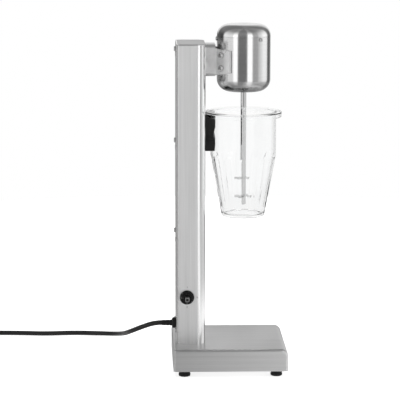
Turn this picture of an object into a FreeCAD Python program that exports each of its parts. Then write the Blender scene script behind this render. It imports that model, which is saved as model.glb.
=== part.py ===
"""Bar milkshake mixer: a weighted base, a sheet steel column, a motor head in a V bracket, a beater
spindle, a hanging clear cup, a toggle switch and a mains cord.  Millimetres, +Z up, +X to the front
(the cup side), origin on the floor under the middle of the base."""

import FreeCAD, Part

import math
import os

import Sketcher
from FreeCAD import Placement, Rotation, Vector

doc = FreeCAD.newDocument("milkshake_mixer")

# ---------------------------------------------------------------- driving dimensions
SIZES = [
    ("base_length", 164),
    ("base_width", 158),
    ("base_top", 42),
    ("skirt_bottom", 10),
    ("base_sheet", 1.5),
    ("base_nose_radius", 10),
    ("base_edge_radius", 3.5),
    ("plate_thick", 3),
    ("ballast_side", 92),
    ("foot_radius", 9.25),
    ("foot_x", 66),
    ("foot_y", 61.5),
    ("column_back", -75.5),
    ("column_front", -35.5),
    ("column_half", 42),
    ("column_top", 474),
    ("column_sheet", 1.2),
    ("column_radius", 12),
    ("cap_thick", 1.5),
    ("cover_thick", 1.5),
    ("cover_screw_y", 37),
    ("cover_screw_low", 61.5),
    ("cover_screw_pitch", 133.3),
    ("head_x", 20),
    ("motor_radius", 38.5),
    ("motor_bottom", 404),
    ("motor_seam", 483),
    ("motor_top", 500),
    ("motor_wall", 2.5),
    ("motor_floor", 3.5),
    ("cap_screw_height", 479.5),
    ("lead_height", 462),
    ("stator_low", 431),
    ("stator_high", 25),
    ("stator_radius", 35.8),
    ("tie_radius", 29.5),
    ("shaft_radius", 4),
    ("rotor_radius", 17),
    ("rod_radius", 4),
    ("rod_low", 253),
    ("tail_radius", 2.6),
    ("upper_disc_height", 276.8),
    ("upper_disc_radius", 11),
    ("lower_disc_height", 249.8),
    ("lower_disc_radius", 12.7),
    ("disc_thick", 2.8),
    ("nut_low", 239),
    ("cup_bottom", 223),
    ("cup_rim", 375),
    ("cup_shoulder", 307),
    ("cup_radius", 47),
    ("cup_foot_radius", 31.2),
    ("cup_wall", 2.4),
    ("lip_radius", 55),
    ("lip_wall", 2),
    ("lip_drop", 7.5),
    ("holder_half", 23),
    ("holder_low", 320),
    ("holder_top", 372),
    ("holder_front", -21),
    ("neck_half", 20),
    ("wing_plate", 4.3),
    ("wing_reach", 24.5),
    ("wing_screw_high", 457.4),
    ("wing_screw_low", 439.4),
    ("switch_x", -62),
    ("switch_z", 110.7),
    ("boot_radius", 10.3),
    ("gland_z", 64),
    ("gland_radius", 7.9),
    ("gland_reach", 5.7),
    ("cord_diameter", 7),
    ("coil_x", -405),
    ("coil_y", 146),
    ("coil_inner", 27.9),
    ("coil_outer", 50),
    ("coil_low", 0.3),
    ("coil_height", 14.3),
]

sheet = doc.addObject("Spreadsheet::Sheet", "Sizes")
for row, (alias, number) in enumerate(SIZES, start=1):
    sheet.set(f"A{row}", alias)
    sheet.set(f"B{row}", str(number))
    sheet.setAlias(f"B{row}", alias)
doc.recompute()


class Size:
    """A number together with the sheet expression that gives it."""

    def __init__(self, number, text):
        self.number = number
        self.text = text

    def join(self, sign, other, number):
        return Size(number, f"({self.text} {sign} {text_of(other)})")

    def __add__(self, other):
        return self.join("+", other, self.number + number_of(other))

    def __sub__(self, other):
        return self.join("-", other, self.number - number_of(other))

    def __mul__(self, other):
        return self.join("*", other, self.number * number_of(other))

    def __truediv__(self, other):
        return self.join("/", other, self.number / number_of(other))

    def __neg__(self):
        return Size(-self.number, f"(0 - {self.text})")


def number_of(length):
    return length.number if isinstance(length, Size) else float(length)


def text_of(length):
    return length.text if isinstance(length, Size) else f"({float(length)!r})"


class Sizes:
    """Every cell of the sheet by its alias."""

    def __init__(self):
        for alias, number in SIZES:
            setattr(self, alias, Size(float(number), f"Sizes.{alias}"))


def span_of(start, end):
    """The length from one coordinate to another, either of which may come from the sheet."""
    if isinstance(end, Size):
        return end - start
    if isinstance(start, Size):
        return -(start - end)
    return end - start


D = Sizes()
NODES = []


# ---------------------------------------------------------------- helpers for Part primitives
def bind(thing, prop, length):
    """Sets a length, and binds it to the sheet when it comes from there."""
    if isinstance(length, Size):
        thing.setExpression(prop, length.text)
    else:
        setattr(thing, prop, float(length))


def place(thing, x=0.0, y=0.0, z=0.0, rotation=None):
    """Puts an object at a point, each coordinate bound when it comes from the sheet."""
    spot = Vector(number_of(x), number_of(y), number_of(z))
    thing.Placement = Placement(spot, rotation or Rotation())
    for axis, length in (("x", x), ("y", y), ("z", z)):
        if isinstance(length, Size):
            thing.setExpression(f".Placement.Base.{axis}", length.text)
    return thing


def box(name, low, high):
    """A block between two opposite corners."""
    thing = doc.addObject("Part::Box", name)
    for prop, start, end in zip(("Length", "Width", "Height"), low, high):
        bind(thing, prop, span_of(start, end))
    return place(thing, *low)


ALONG = {
    "x": Rotation(Vector(0, 1, 0), 90),
    "-x": Rotation(Vector(0, 1, 0), -90),
    "-y": Rotation(Vector(1, 0, 0), 90),
    "y": Rotation(Vector(1, 0, 0), -90),
    "z": Rotation(),
}


def rod(name, radius, length, x=0.0, y=0.0, z=0.0, along="z"):
    """A cylinder that starts at a point and runs along an axis."""
    thing = doc.addObject("Part::Cylinder", name)
    bind(thing, "Radius", radius)
    bind(thing, "Height", length)
    return place(thing, x, y, z, ALONG[along])


def cut(name, base, *tools):
    """The base without the tools."""
    result = doc.addObject("Part::Cut", name)
    result.Base = base
    result.Tool = tools[0] if len(tools) == 1 else fuse(f"{name}_tools", *tools)
    return result


def fuse(name, *pieces):
    result = doc.addObject("Part::MultiFuse", name)
    result.Shapes = list(pieces)
    return result


def ring(name, outer, inner, low, high, x=0.0, y=0.0):
    """A round collar between two heights."""
    long = span_of(low, high)
    solid = rod(f"{name}_outer", outer, long, x, y, low)
    bore = rod(f"{name}_bore", inner, long, x, y, low)
    return cut(name, solid, bore)


def group(name, *pieces):
    """Separate solids that share one node."""
    result = doc.addObject("Part::Compound", name)
    result.Links = list(pieces)
    return result


def keep(label, thing):
    """Names an object as one finished piece."""
    thing.Label = label
    NODES.append(thing)
    return thing


def copies(label, template, placements):
    """One template solid repeated at each placement, all in one node."""
    doc.recompute()
    feature = doc.addObject("Part::Feature", label)
    solids = [template.Shape.transformed(spot.toMatrix()) for spot in placements]
    feature.Shape = Part.makeCompound(solids)
    feature.Placement = Placement()
    return keep(label, feature)


# ---------------------------------------------------------------- helpers for PartDesign bodies
def new_body(name):
    return doc.addObject("PartDesign::Body", name)


def plane_of(body, role):
    return next(item for item in body.Origin.OriginFeatures if item.Role == role)


def sketch(body, role, lift=0.0):
    """An empty sketch on one of the body's own origin planes, lifted along that plane's normal."""
    result = body.newObject("Sketcher::SketchObject", f"{body.Name}_sketch")
    result.AttachmentSupport = [(plane_of(body, role), "")]
    result.MapMode = "FlatFace"
    result.AttachmentOffset = Placement(Vector(0, 0, number_of(lift)), Rotation())
    if isinstance(lift, Size):
        result.setExpression(".AttachmentOffset.Base.z", lift.text)
    return result


def pin(drawing, kind, geometry, point, length):
    """Holds one point of a sketch at a distance from the origin along one axis."""
    if not isinstance(length, Size) and abs(length) < 1e-9:
        axis = -2 if kind == "DistanceX" else -1
        drawing.addConstraint(Sketcher.Constraint("PointOnObject", geometry, point, axis))
        return
    rule = drawing.addConstraint(Sketcher.Constraint(kind, -1, 1, geometry, point, number_of(length)))
    if isinstance(length, Size):
        drawing.setExpression(f"Constraints[{rule}]", length.text)


def outline(drawing, points):
    """A closed polygon with every corner held at its place."""
    first = drawing.GeometryCount
    spots = [Vector(number_of(x), number_of(y), 0) for x, y in points]
    count = len(spots)
    lines = [Part.LineSegment(spots[i], spots[(i + 1) % count]) for i in range(count)]
    drawing.addGeometry(lines, False)
    for i, (x, y) in enumerate(points):
        following = first + (i + 1) % count
        drawing.addConstraint(Sketcher.Constraint("Coincident", first + i, 2, following, 1))
        pin(drawing, "DistanceX", first + i, 1, x)
        pin(drawing, "DistanceY", first + i, 1, y)
    return drawing


def circle(drawing, x, y, radius):
    """A circle held by its centre and radius."""
    middle = Vector(number_of(x), number_of(y), 0)
    index = drawing.addGeometry(Part.Circle(middle, Vector(0, 0, 1), number_of(radius)), False)
    pin(drawing, "DistanceX", index, 3, x)
    pin(drawing, "DistanceY", index, 3, y)
    rule = drawing.addConstraint(Sketcher.Constraint("Radius", index, number_of(radius)))
    if isinstance(radius, Size):
        drawing.setExpression(f"Constraints[{rule}]", radius.text)
    return drawing


def rectangle(drawing, left, low, right, high):
    return outline(drawing, [(left, low), (right, low), (right, high), (left, high)])


def rounded(drawing, left, low, right, high, radii):
    """A rectangle with a tangent arc at each corner that has a radius, from the lower left one round."""
    sides = [(left, 1, low, 1), (right, -1, low, 1), (right, -1, high, -1), (left, 1, high, -1)]
    stops = []
    for quarter, ((x, inward_x, y, inward_y), radius) in enumerate(zip(sides, radii)):
        if number_of(radius) < 1e-9:
            at = Vector(number_of(x), number_of(y), 0)
            stops.append((None, (x, y), at, at))
            continue
        mid_x = x + radius * inward_x
        mid_y = y + radius * inward_y
        middle = Vector(number_of(mid_x), number_of(mid_y), 0)
        begin = math.pi * (1 + quarter / 2)
        whole = Part.Circle(middle, Vector(0, 0, 1), number_of(radius))
        arc = Part.ArcOfCircle(whole, begin, begin + math.pi / 2)
        index = drawing.addGeometry(arc, False)
        pin(drawing, "DistanceX", index, 3, mid_x)
        pin(drawing, "DistanceY", index, 3, mid_y)
        rule = drawing.addConstraint(Sketcher.Constraint("Radius", index, number_of(radius)))
        if isinstance(radius, Size):
            drawing.setExpression(f"Constraints[{rule}]", radius.text)
        stops.append((index, None, arc.StartPoint, arc.EndPoint))
    lines = []
    for i in range(4):
        lines.append(drawing.addGeometry(Part.LineSegment(stops[i][3], stops[(i + 1) % 4][2]), False))
    for i in range(4):
        arc, corner, _, _ = stops[i]
        if arc is None:
            drawing.addConstraint(Sketcher.Constraint("Coincident", lines[i - 1], 2, lines[i], 1))
            pin(drawing, "DistanceX", lines[i], 1, corner[0])
            pin(drawing, "DistanceY", lines[i], 1, corner[1])
        else:
            drawing.addConstraint(Sketcher.Constraint("Tangent", lines[i - 1], 2, arc, 1))
            drawing.addConstraint(Sketcher.Constraint("Tangent", arc, 2, lines[i], 1))
    return drawing


def pad(body, drawing, length, both_ways=False, reverse=False):
    result = body.newObject("PartDesign::Pad", f"{body.Name}_pad")
    result.Profile = drawing
    bind(result, "Length", length)
    result.SideType = "Symmetric" if both_ways else "One side"
    result.Reversed = reverse
    doc.recompute()
    return result


def pocket(body, drawing, length, both_ways=False, reverse=False):
    """Cuts a sketch out of the body, and stops if nothing was cut."""
    before = body.Tip.Shape.Volume
    result = body.newObject("PartDesign::Pocket", f"{body.Name}_pocket")
    result.Profile = drawing
    bind(result, "Length", length)
    result.SideType = "Symmetric" if both_ways else "One side"
    result.Reversed = reverse
    doc.recompute()
    if result.Shape.Volume > before - 1e-3:
        raise RuntimeError(f"{result.Name} cuts nothing")
    return result


def revolve(body, drawing):
    """Turns a sketch about its own vertical axis."""
    result = body.newObject("PartDesign::Revolution", f"{body.Name}_revolution")
    result.Profile = drawing
    result.ReferenceAxis = (drawing, ["V_Axis"])
    result.Angle = 360
    doc.recompute()
    return result


def around(body, feature, count):
    """Repeats a feature evenly round the body's Z axis."""
    result = body.newObject("PartDesign::PolarPattern", f"{body.Name}_pattern")
    result.Originals = [feature]
    result.Axis = (plane_of(body, "Z_Axis"), [""])
    result.Angle = 360
    result.Occurrences = count
    body.Tip = result
    doc.recompute()
    return result


def soften(body, kind, radius, wanted):
    """Rounds or chamfers every edge of the body that the test accepts."""
    base = body.Tip
    names = [f"Edge{i}" for i, edge in enumerate(base.Shape.Edges, start=1) if wanted(edge)]
    if not names:
        raise RuntimeError(f"{body.Name} has no such edge")
    result = body.newObject(f"PartDesign::{kind}", f"{body.Name}_{kind.lower()}")
    result.Base = (base, names)
    bind(result, "Radius" if kind == "Fillet" else "Size", radius)
    doc.recompute()
    if "Invalid" in result.State or result.Shape.isNull():
        raise RuntimeError(f"{result.Name} failed on {names}")
    return result


def upright(edge):
    """Whether an edge is straight and vertical."""
    low, high = edge.BoundBox.ZMin, edge.BoundBox.ZMax
    return edge.BoundBox.XLength < 1e-6 and edge.BoundBox.YLength < 1e-6 and high - low > 1e-6


def hoop(radius, height):
    """A test for the full circle of a turned piece with that radius and height."""

    def matches(edge):
        span = edge.BoundBox
        flat = span.ZLength < 1e-6 and abs(span.ZMin - number_of(height)) < 1e-3
        return flat and abs(span.XLength / 2 - number_of(radius)) < 1e-3

    return matches


# ---------------------------------------------------------------- fasteners
def pan_screw(name, head, head_high, shank, long, cross):
    """A cross-recessed pan head screw, head up, with the underside of its head at the origin."""
    body = new_body(name)
    drawing = sketch(body, "XZ_Plane")
    outline(drawing, [(0, -long), (shank, -long), (shank, 0), (head, 0), (head, head_high), (0, head_high)])
    revolve(body, drawing)
    soften(body, "Fillet", head_high * 0.6, hoop(head, head_high))
    if cross:
        for wide, deep in ((head * 0.62, head * 0.13), (head * 0.13, head * 0.62)):
            slot = sketch(body, "XY_Plane", head_high)
            rectangle(slot, -wide, -deep, wide, deep)
            pocket(body, slot, head_high * 0.55)
    return body


def turned(direction, up=Vector(0, 0, 1)):
    """The rotation that takes one direction to another."""
    return Rotation(up, direction)


# ---------------------------------------------------------------- base
BOLT_SPOTS = [(x, y) for x in (-66.0, -45.0) for y in (-28.0, 28.0)]
BOLT_HOLE = 2.7
FOOT_SPOTS = [(x * D.foot_x.number, y * D.foot_y.number) for x in (-1, 1) for y in (-1, 1)]
FOOT_RECESS = 5
FITTING_GAP = 0.3


def upright_copies(label, template, spots, height):
    """One template repeated at several plan positions, standing at one height."""
    copies(label, template, [Placement(Vector(x, y, height), Rotation()) for x, y in spots])


def hanging_copies(label, template, spots, height):
    """One template repeated upside down at several plan positions."""
    turn = turned(Vector(0, 0, -1))
    copies(label, template, [Placement(Vector(x, y, height), turn) for x, y in spots])


def make_base_cover():
    body = new_body("base_cover")
    half = D.base_length / 2
    side = sketch(body, "XZ_Plane")
    rectangle(side, -half, D.skirt_bottom, half, D.base_top)
    pad(body, side, D.base_width, both_ways=True)
    top = D.base_top.number

    def crosswise(edge, sign):
        span = edge.BoundBox
        on_top = abs(span.ZMin - top) < 1e-3
        return on_top and span.YLength > 1 and span.XLength < 1e-6 and span.XMin * sign > 0

    soften(body, "Fillet", D.base_nose_radius, lambda edge: crosswise(edge, 1))
    soften(body, "Fillet", D.base_edge_radius + 0.5, lambda edge: crosswise(edge, -1))

    def sideways(edge):
        span = edge.BoundBox
        on_side = span.YLength < 1e-6 and abs(abs(span.YMin) - D.base_width.number / 2) < 1e-3
        return on_side and span.ZMax > D.skirt_bottom.number + 1e-3

    soften(body, "Fillet", D.base_edge_radius, sideways)
    room = sketch(body, "XZ_Plane")
    inner = half - D.base_sheet
    roof = D.base_top - D.base_sheet
    nose = D.base_nose_radius - D.base_sheet
    rounded(room, -inner, D.skirt_bottom - 1, inner, roof, [0, 0, nose, 0])
    pocket(body, room, D.base_width - D.base_sheet * 2, both_ways=True)
    holes = sketch(body, "XY_Plane", D.base_top)
    for x, y in BOLT_SPOTS:
        circle(holes, x, y, BOLT_HOLE)
    pocket(body, holes, D.base_sheet * 2)
    keep("base_cover", body)


def make_base_plate():
    body = new_body("base_plate")
    drawing = sketch(body, "XY_Plane", D.skirt_bottom)
    x = D.base_length / 2 - D.base_sheet - FITTING_GAP
    y = D.base_width / 2 - D.base_sheet - FITTING_GAP
    rectangle(drawing, -x, -y, x, y)
    pad(body, drawing, D.plate_thick)
    soften(body, "Chamfer", 1, upright)
    holes = sketch(body, "XY_Plane", D.skirt_bottom)
    for px, py in FOOT_SPOTS:
        circle(holes, px, py, 2.1)
    for px, py in BOLT_SPOTS:
        circle(holes, px, py, 2.6)
    pocket(body, holes, D.plate_thick, reverse=True)
    keep("base_plate", body)


def make_ballast():
    body = new_body("ballast_block")
    low = D.skirt_bottom + D.plate_thick
    drawing = sketch(body, "XY_Plane", low)
    half = D.ballast_side / 2
    rectangle(drawing, D.column_back, -half, D.column_back + D.ballast_side, half)
    high = D.base_top - D.base_sheet - low
    pad(body, drawing, high)
    soften(body, "Fillet", 6, upright)
    holes = sketch(body, "XY_Plane", low)
    for px, py in BOLT_SPOTS:
        circle(holes, px, py, BOLT_HOLE)
    pocket(body, holes, high, reverse=True)
    keep("ballast_block", body)


def make_feet():
    body = new_body("foot_template")
    drawing = sketch(body, "XZ_Plane")
    wide = D.foot_radius
    high = D.skirt_bottom
    sole = wide - 0.8
    recess = FOOT_RECESS
    outline(drawing, [(4.6, 0), (sole, 0), (wide, high), (2.1, high), (2.1, recess), (4.6, recess)])
    revolve(body, drawing)
    soften(body, "Fillet", 1, hoop(sole, 0))
    upright_copies("rubber_feet", body, FOOT_SPOTS, 0)
    screw = pan_screw("foot_screw_template", 4, 2.4, 2, 12.5, True)
    hanging_copies("foot_screws", screw, FOOT_SPOTS, recess)
    nut_low = D.skirt_bottom + D.plate_thick
    nut = hex_nut("foot_nut_template", 4.2, 2, 3.2)
    upright_copies("foot_nuts", nut, FOOT_SPOTS, nut_low.number)


def hex_nut(name, corner, bore, high):
    """A hexagon nut standing on the origin."""
    body = new_body(name)
    drawing = sketch(body, "XY_Plane")
    angles = [math.radians(60 * i) for i in range(6)]
    outline(drawing, [(corner * math.cos(angle), corner * math.sin(angle)) for angle in angles])
    pad(body, drawing, high)
    hole = sketch(body, "XY_Plane")
    circle(hole, 0, 0, bore)
    pocket(body, hole, high, reverse=True)
    return body


# ---------------------------------------------------------------- column
FLANGE_EDGE = 29.0
SCREW_ROWS = [D.cover_screw_low + D.cover_screw_pitch * i for i in range(4)]
CORD_HOLE = 6.2
HOLDER_SCREW_HEIGHTS = (327.0, 356.0)
NECK_BOLTS = [(y, z) for y in (-12.0, 12.0) for z in (437.0, 453.0)]


def column_outline(drawing, inset):
    """The column's section, drawn in from its outer face by a thickness."""
    half = D.column_half - inset
    front = D.column_radius - inset
    back = D.column_back + inset
    rounded(drawing, back, -half, D.column_front - inset, half, [1.8, front, front, 1.8])


def make_column_shell():
    body = new_body("column_shell")
    low = D.base_top
    high = D.column_top - D.cap_thick - low
    sheet_thick = D.column_sheet
    outer = sketch(body, "XY_Plane", low)
    column_outline(outer, 0)
    pad(body, outer, high)
    room = sketch(body, "XY_Plane", low)
    column_outline(room, sheet_thick)
    pocket(body, room, high, reverse=True)
    back = sketch(body, "XY_Plane", low)
    rectangle(back, D.column_back - 1, -FLANGE_EDGE, D.column_back + sheet_thick + 0.2, FLANGE_EDGE)
    pocket(body, back, high, reverse=True)

    tapped = sketch(body, "YZ_Plane", D.column_back)
    for row in SCREW_ROWS:
        for y in (D.cover_screw_y, -D.cover_screw_y):
            circle(tapped, y, row, 1.5)
    pocket(body, tapped, sheet_thick, reverse=True)

    face = sketch(body, "YZ_Plane", D.column_front)
    for y, z in NECK_BOLTS:
        circle(face, y, z, 2.6)
    for z in HOLDER_SCREW_HEIGHTS:
        circle(face, 0, z, 2.1)
    circle(face, 0, D.lead_height, 4.5)
    pocket(body, face, sheet_thick)

    side = sketch(body, "XZ_Plane", D.column_half)
    circle(side, D.switch_x, D.switch_z, 6.2)
    pocket(body, side, sheet_thick)
    keep("column_shell", body)


def make_column_cap():
    body = new_body("column_cap")
    low = D.column_top - D.cap_thick
    outer = sketch(body, "XY_Plane", low)
    column_outline(outer, 0)
    pad(body, outer, D.cap_thick)
    plug = sketch(body, "XY_Plane", low)
    gap = D.column_sheet + 0.15
    reach = D.column_half - gap - 11
    rectangle(plug, D.column_back + 6, -reach, D.column_front - gap, reach)
    pad(body, plug, 6, reverse=True)
    hollow = sketch(body, "XY_Plane", low)
    rectangle(hollow, D.column_back + 7.5, -(reach - 1.5), D.column_front - gap - 1.5, reach - 1.5)
    pocket(body, hollow, 6)
    top = D.column_top.number
    soften(body, "Fillet", 0.8, lambda edge: edge.BoundBox.ZMin > top - 1e-3)
    keep("column_cap", body)


def make_column_foot():
    """The inner angle that ties the column to the base, with its four bolts."""
    body = new_body("column_foot")
    sole = 3
    tall = 40
    wall = 2
    gap = D.column_sheet + 0.2
    outer = sketch(body, "XY_Plane", D.base_top)
    bend = D.column_radius - gap
    half = D.column_half - gap
    rounded(outer, D.column_back + 6, -half, D.column_front - gap, half, [0, bend, bend, 0])
    pad(body, outer, tall)
    room = sketch(body, "XY_Plane", D.base_top + sole)
    bend = bend - wall
    half = half - wall
    rounded(room, D.column_back, -half, D.column_front - gap - wall, half, [0, bend, bend, 0])
    pocket(body, room, tall, reverse=True)
    holes = sketch(body, "XY_Plane", D.base_top)
    for x, y in BOLT_SPOTS:
        circle(holes, x, y, BOLT_HOLE)
    pocket(body, holes, sole, reverse=True)
    keep("column_foot", body)
    bolt = pan_screw("column_bolt_template", 4.6, 3.4, 2.5, 40, True)
    hanging_copies("column_bolts", bolt, BOLT_SPOTS, D.skirt_bottom.number)
    nut = hex_nut("column_nut_template", 4.6, 2.5, 4)
    upright_copies("column_nuts", nut, BOLT_SPOTS, D.base_top.number + sole)


def make_rear_cover():
    body = new_body("rear_cover")
    low = D.base_top + 0.5
    plate = sketch(body, "XY_Plane", low)
    rectangle(plate, D.column_back - D.cover_thick, -D.column_half, D.column_back, D.column_half)
    pad(body, plate, D.column_top - low)
    outer_x = (D.column_back - D.cover_thick).number
    soften(body, "Fillet", 1.2, lambda edge: upright(edge) and edge.BoundBox.XMin < outer_x + 1e-3)
    holes = sketch(body, "YZ_Plane", D.column_back - D.cover_thick)
    for row in SCREW_ROWS:
        for y in (D.cover_screw_y, -D.cover_screw_y):
            circle(holes, y, row, 1.7)
    circle(holes, 0, D.gland_z, CORD_HOLE)
    pocket(body, holes, D.cover_thick, reverse=True)
    keep("rear_cover", body)
    screw = pan_screw("cover_screw_template", 3.5, 2, 1.5, 7, True)
    turn = turned(Vector(-1, 0, 0))
    spots = []
    for row in SCREW_ROWS:
        for side in (-1, 1):
            spots.append(Placement(Vector(outer_x, side * D.cover_screw_y.number, row.number), turn))
    copies("rear_cover_screws", screw, spots)


# ---------------------------------------------------------------- head bracket
ROOT = math.sqrt(2)
WING_SCREW_SETBACK = 5.0


def make_head_bracket():
    """A neck block with two plates that spread at 45 degrees and touch the motor on both sides."""
    body = new_body("bracket_solid")
    half = D.neck_half
    seat = D.motor_radius - 0.3
    outer = seat + D.wing_plate
    # A plate face is the line x + y = head_x - distance * sqrt 2, mirrored for the other plate.
    elbow_x = D.head_x - outer * ROOT + half
    inner_x = D.column_front + 14
    inner_y = -(inner_x - D.head_x + seat * ROOT)
    reach = D.wing_reach / ROOT
    tip_x = elbow_x + reach
    tip_y = half + reach
    edge = D.wing_plate / ROOT
    points = [
        (D.column_front, -half),
        (elbow_x, -half),
        (tip_x, -tip_y),
        (tip_x + edge, -tip_y + edge),
        (inner_x, inner_y),
        (inner_x, -inner_y),
        (tip_x + edge, tip_y - edge),
        (tip_x, tip_y),
        (elbow_x, half),
        (D.column_front, half),
    ]
    plan = sketch(body, "XY_Plane", 427)
    outline(plan, points)
    pad(body, plan, 45)
    trims = sketch(body, "XZ_Plane")
    far = 8.0
    outline(trims, [(inner_x + 0.3, 473), (inner_x + 0.3, 466.7), (far, 462.6), (far, 473)])
    outline(trims, [(inner_x + 0.3, 426), (far, 426), (far, 434.6), (inner_x + 0.3, 428.6)])
    pocket(body, trims, 120, both_ways=True)

    def neck_edge(edge):
        span = edge.BoundBox
        lengthwise = span.XLength > 5 and span.YLength < 1e-6 and span.ZLength < 1e-6
        return lengthwise and abs(abs(span.YMin) - half.number) < 1e-3

    soften(body, "Chamfer", 4, neck_edge)
    ring_seat = sketch(body, "XY_Plane", 427)
    circle(ring_seat, D.head_x, 0, D.motor_radius)
    pocket(body, ring_seat, 45, reverse=True)
    bores = sketch(body, "YZ_Plane", D.column_front)
    circle(bores, 0, D.lead_height, 4.5)
    pocket(body, bores, 16, reverse=True)
    taps = sketch(body, "YZ_Plane", D.column_front)
    for y, z in NECK_BOLTS:
        circle(taps, y, z, 2.5)
    pocket(body, taps, 9, reverse=True)
    holes = drill("bracket_drills", 1.6, wing_screw_spots(), 7)
    keep("head_bracket", cut("head_bracket", body, holes))
    inside = (D.column_front - D.column_sheet).number
    bolt = pan_screw("bracket_bolt_template", 4.4, 3, 2.5, 9.5, False)
    turn = turned(Vector(-1, 0, 0))
    copies("bracket_bolts", bolt, [Placement(Vector(inside, y, z), turn) for y, z in NECK_BOLTS])


def wing_screw_spots():
    """Where the four clamp screws sit on the outer faces of the bracket's plates."""
    outer = D.motor_radius.number - 0.3 + D.wing_plate.number
    spots = []
    for side in (-1, 1):
        normal = Vector(-1, side, 0) / ROOT
        along = Vector(-1, -side, 0) / ROOT
        middle = Vector(D.head_x.number, 0, 0) + normal * outer + along * WING_SCREW_SETBACK
        for height in (D.wing_screw_high.number, D.wing_screw_low.number):
            spots.append(Placement(middle + Vector(0, 0, height), turned(normal)))
    return spots


# ---------------------------------------------------------------- motor
CAP_SCREW_ANGLES = (-55.0, 65.0, 185.0)


def drill(name, radius, spots, deep):
    """Holes that run inwards from each placement, the opposite way to a screw's head."""
    doc.recompute()
    tool = doc.addObject("Part::Feature", name)
    drills = []
    for spot in spots:
        axis = spot.Rotation.multVec(Vector(0, 0, 1))
        drills.append(Part.makeCylinder(radius, deep + 4, spot.Base + axis * 2, axis * -1))
    tool.Shape = Part.makeCompound(drills)
    return tool


def cap_screw_spots():
    spots = []
    for degrees in CAP_SCREW_ANGLES:
        angle = math.radians(degrees)
        axis = Vector(math.cos(angle), math.sin(angle), 0)
        at = Vector(D.head_x.number, 0, D.cap_screw_height.number) + axis * (D.motor_radius.number + 0.2)
        spots.append(Placement(at, turned(axis)))
    return spots


def make_motor_shell():
    body = new_body("motor_shell")
    wall = D.motor_radius - D.motor_wall
    low = D.motor_bottom
    floor = low + D.motor_floor
    section = sketch(body, "XZ_Plane")
    points = [(8, low), (D.motor_radius, low), (D.motor_radius, D.motor_seam), (wall, D.motor_seam)]
    points += [(wall, floor), (14, floor), (14, low + 13), (11, low + 13), (11, low + 5.5), (8, low + 5.5)]
    outline(section, points)
    revolve(body, section)
    soften(body, "Fillet", 18, hoop(D.motor_radius, low))
    soften(body, "Fillet", 15, hoop(wall, floor))
    posts = sketch(body, "XY_Plane", low + 6.5)
    for side in (-1, 1):
        circle(posts, 0, D.tie_radius * side, 4.5)
    pad(body, posts, D.stator_low - low - 6.5)
    taps = sketch(body, "XY_Plane", D.stator_low)
    for side in (-1, 1):
        circle(taps, 0, D.tie_radius * side, 2)
    pocket(body, taps, 12)
    place(body, D.head_x)
    holes = drill("motor_shell_drills", 1.5, wing_screw_spots(), 12)
    cap_holes = drill("motor_shell_cap_drills", 1.6, cap_screw_spots(), 4)
    lead = rod("motor_shell_lead_drill", 3.5, 12, D.head_x - D.motor_radius - 4, 0, D.lead_height, "x")
    keep("motor_housing", cut("motor_housing", body, holes, cap_holes, lead))


def make_motor_cap():
    body = new_body("motor_cap_shell")
    inner = D.motor_radius - D.motor_wall - 0.2
    skirt = inner - 2.4
    seam = D.motor_seam + 0.3
    roof = D.motor_top - 2.5
    section = sketch(body, "XZ_Plane")
    points = [(0, D.motor_top), (D.motor_radius, D.motor_top), (D.motor_radius, seam), (inner, seam)]
    points += [(inner, seam - 8), (skirt, seam - 8), (skirt, roof), (0, roof)]
    outline(section, points)
    revolve(body, section)
    soften(body, "Fillet", 16.5, hoop(D.motor_radius, D.motor_top))
    soften(body, "Fillet", 14, hoop(skirt, roof))
    place(body, D.head_x)
    holes = drill("motor_cap_drills", 1.5, cap_screw_spots(), 12)
    keep("motor_cap", cut("motor_cap", body, holes))


def make_head_screws():
    wing = pan_screw("clamp_screw_template", 4.6, 2.8, 1.5, 6.2, True)
    copies("clamp_screws", wing, wing_screw_spots())
    small = pan_screw("cap_screw_template", 2.9, 1.6, 1.5, 5, True)
    copies("cap_screws", small, cap_screw_spots())


def make_stator():
    body = new_body("stator_core")
    low = D.stator_low
    outer = sketch(body, "XY_Plane", low)
    circle(outer, 0, 0, D.stator_radius)
    circle(outer, 0, 0, 26)
    pad(body, outer, D.stator_high)
    for side in (-1, 1):
        pole = sketch(body, "XY_Plane", low)
        near = 14 * side
        far = 27 * side
        rectangle(pole, min(near, far), -9, max(near, far), 9)
        pad(body, pole, D.stator_high)
    bore = sketch(body, "XY_Plane", low)
    circle(bore, 0, 0, D.rotor_radius + 0.6)
    for side in (-1, 1):
        circle(bore, 0, D.tie_radius * side, 2.1)
    pocket(body, bore, D.stator_high, reverse=True)
    place(body, D.head_x)
    keep("stator_core", body)


def make_field_coils():
    """Two wound coils, one round each pole of the stator."""
    coils = []
    low = D.stator_low
    high = D.stator_low + D.stator_high
    for side, name in ((-1, "rear"), (1, "front")):
        near = D.head_x + 18.2 * side
        far = D.head_x + 21.4 * side
        left, right = (far, near) if side < 0 else (near, far)
        block = box(f"coil_{name}_block", (left, -14.5, low - 5.2), (right, 14.5, high + 5.2))
        hole = box(f"coil_{name}_hole", (left - 1, -9.2, low - 0.2), (right + 1, 9.2, high + 0.2))
        coils.append(cut(f"coil_{name}", block, hole))
    keep("field_coils", group("field_coils", *coils))


def make_tie_bolts():
    """Long bolts with spacer sleeves that stack the bridge, the stator and the housing."""
    bridge_top = D.stator_low.number + 43.5
    bolt = pan_screw("tie_bolt_template", 3.2, 2.8, 2, 54, False)
    spots = [Vector(D.head_x.number, side * D.tie_radius.number, bridge_top) for side in (-1, 1)]
    copies("motor_tie_bolts", bolt, [Placement(spot, Rotation()) for spot in spots])
    low = D.stator_low + D.stator_high
    sleeves = []
    for side, name in ((-1, "near"), (1, "far")):
        sleeves.append(ring(f"sleeve_{name}", 3.8, 2.1, low, low + 15, D.head_x, D.tie_radius * side))
    keep("spacer_sleeves", group("spacer_sleeves", *sleeves))


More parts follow.
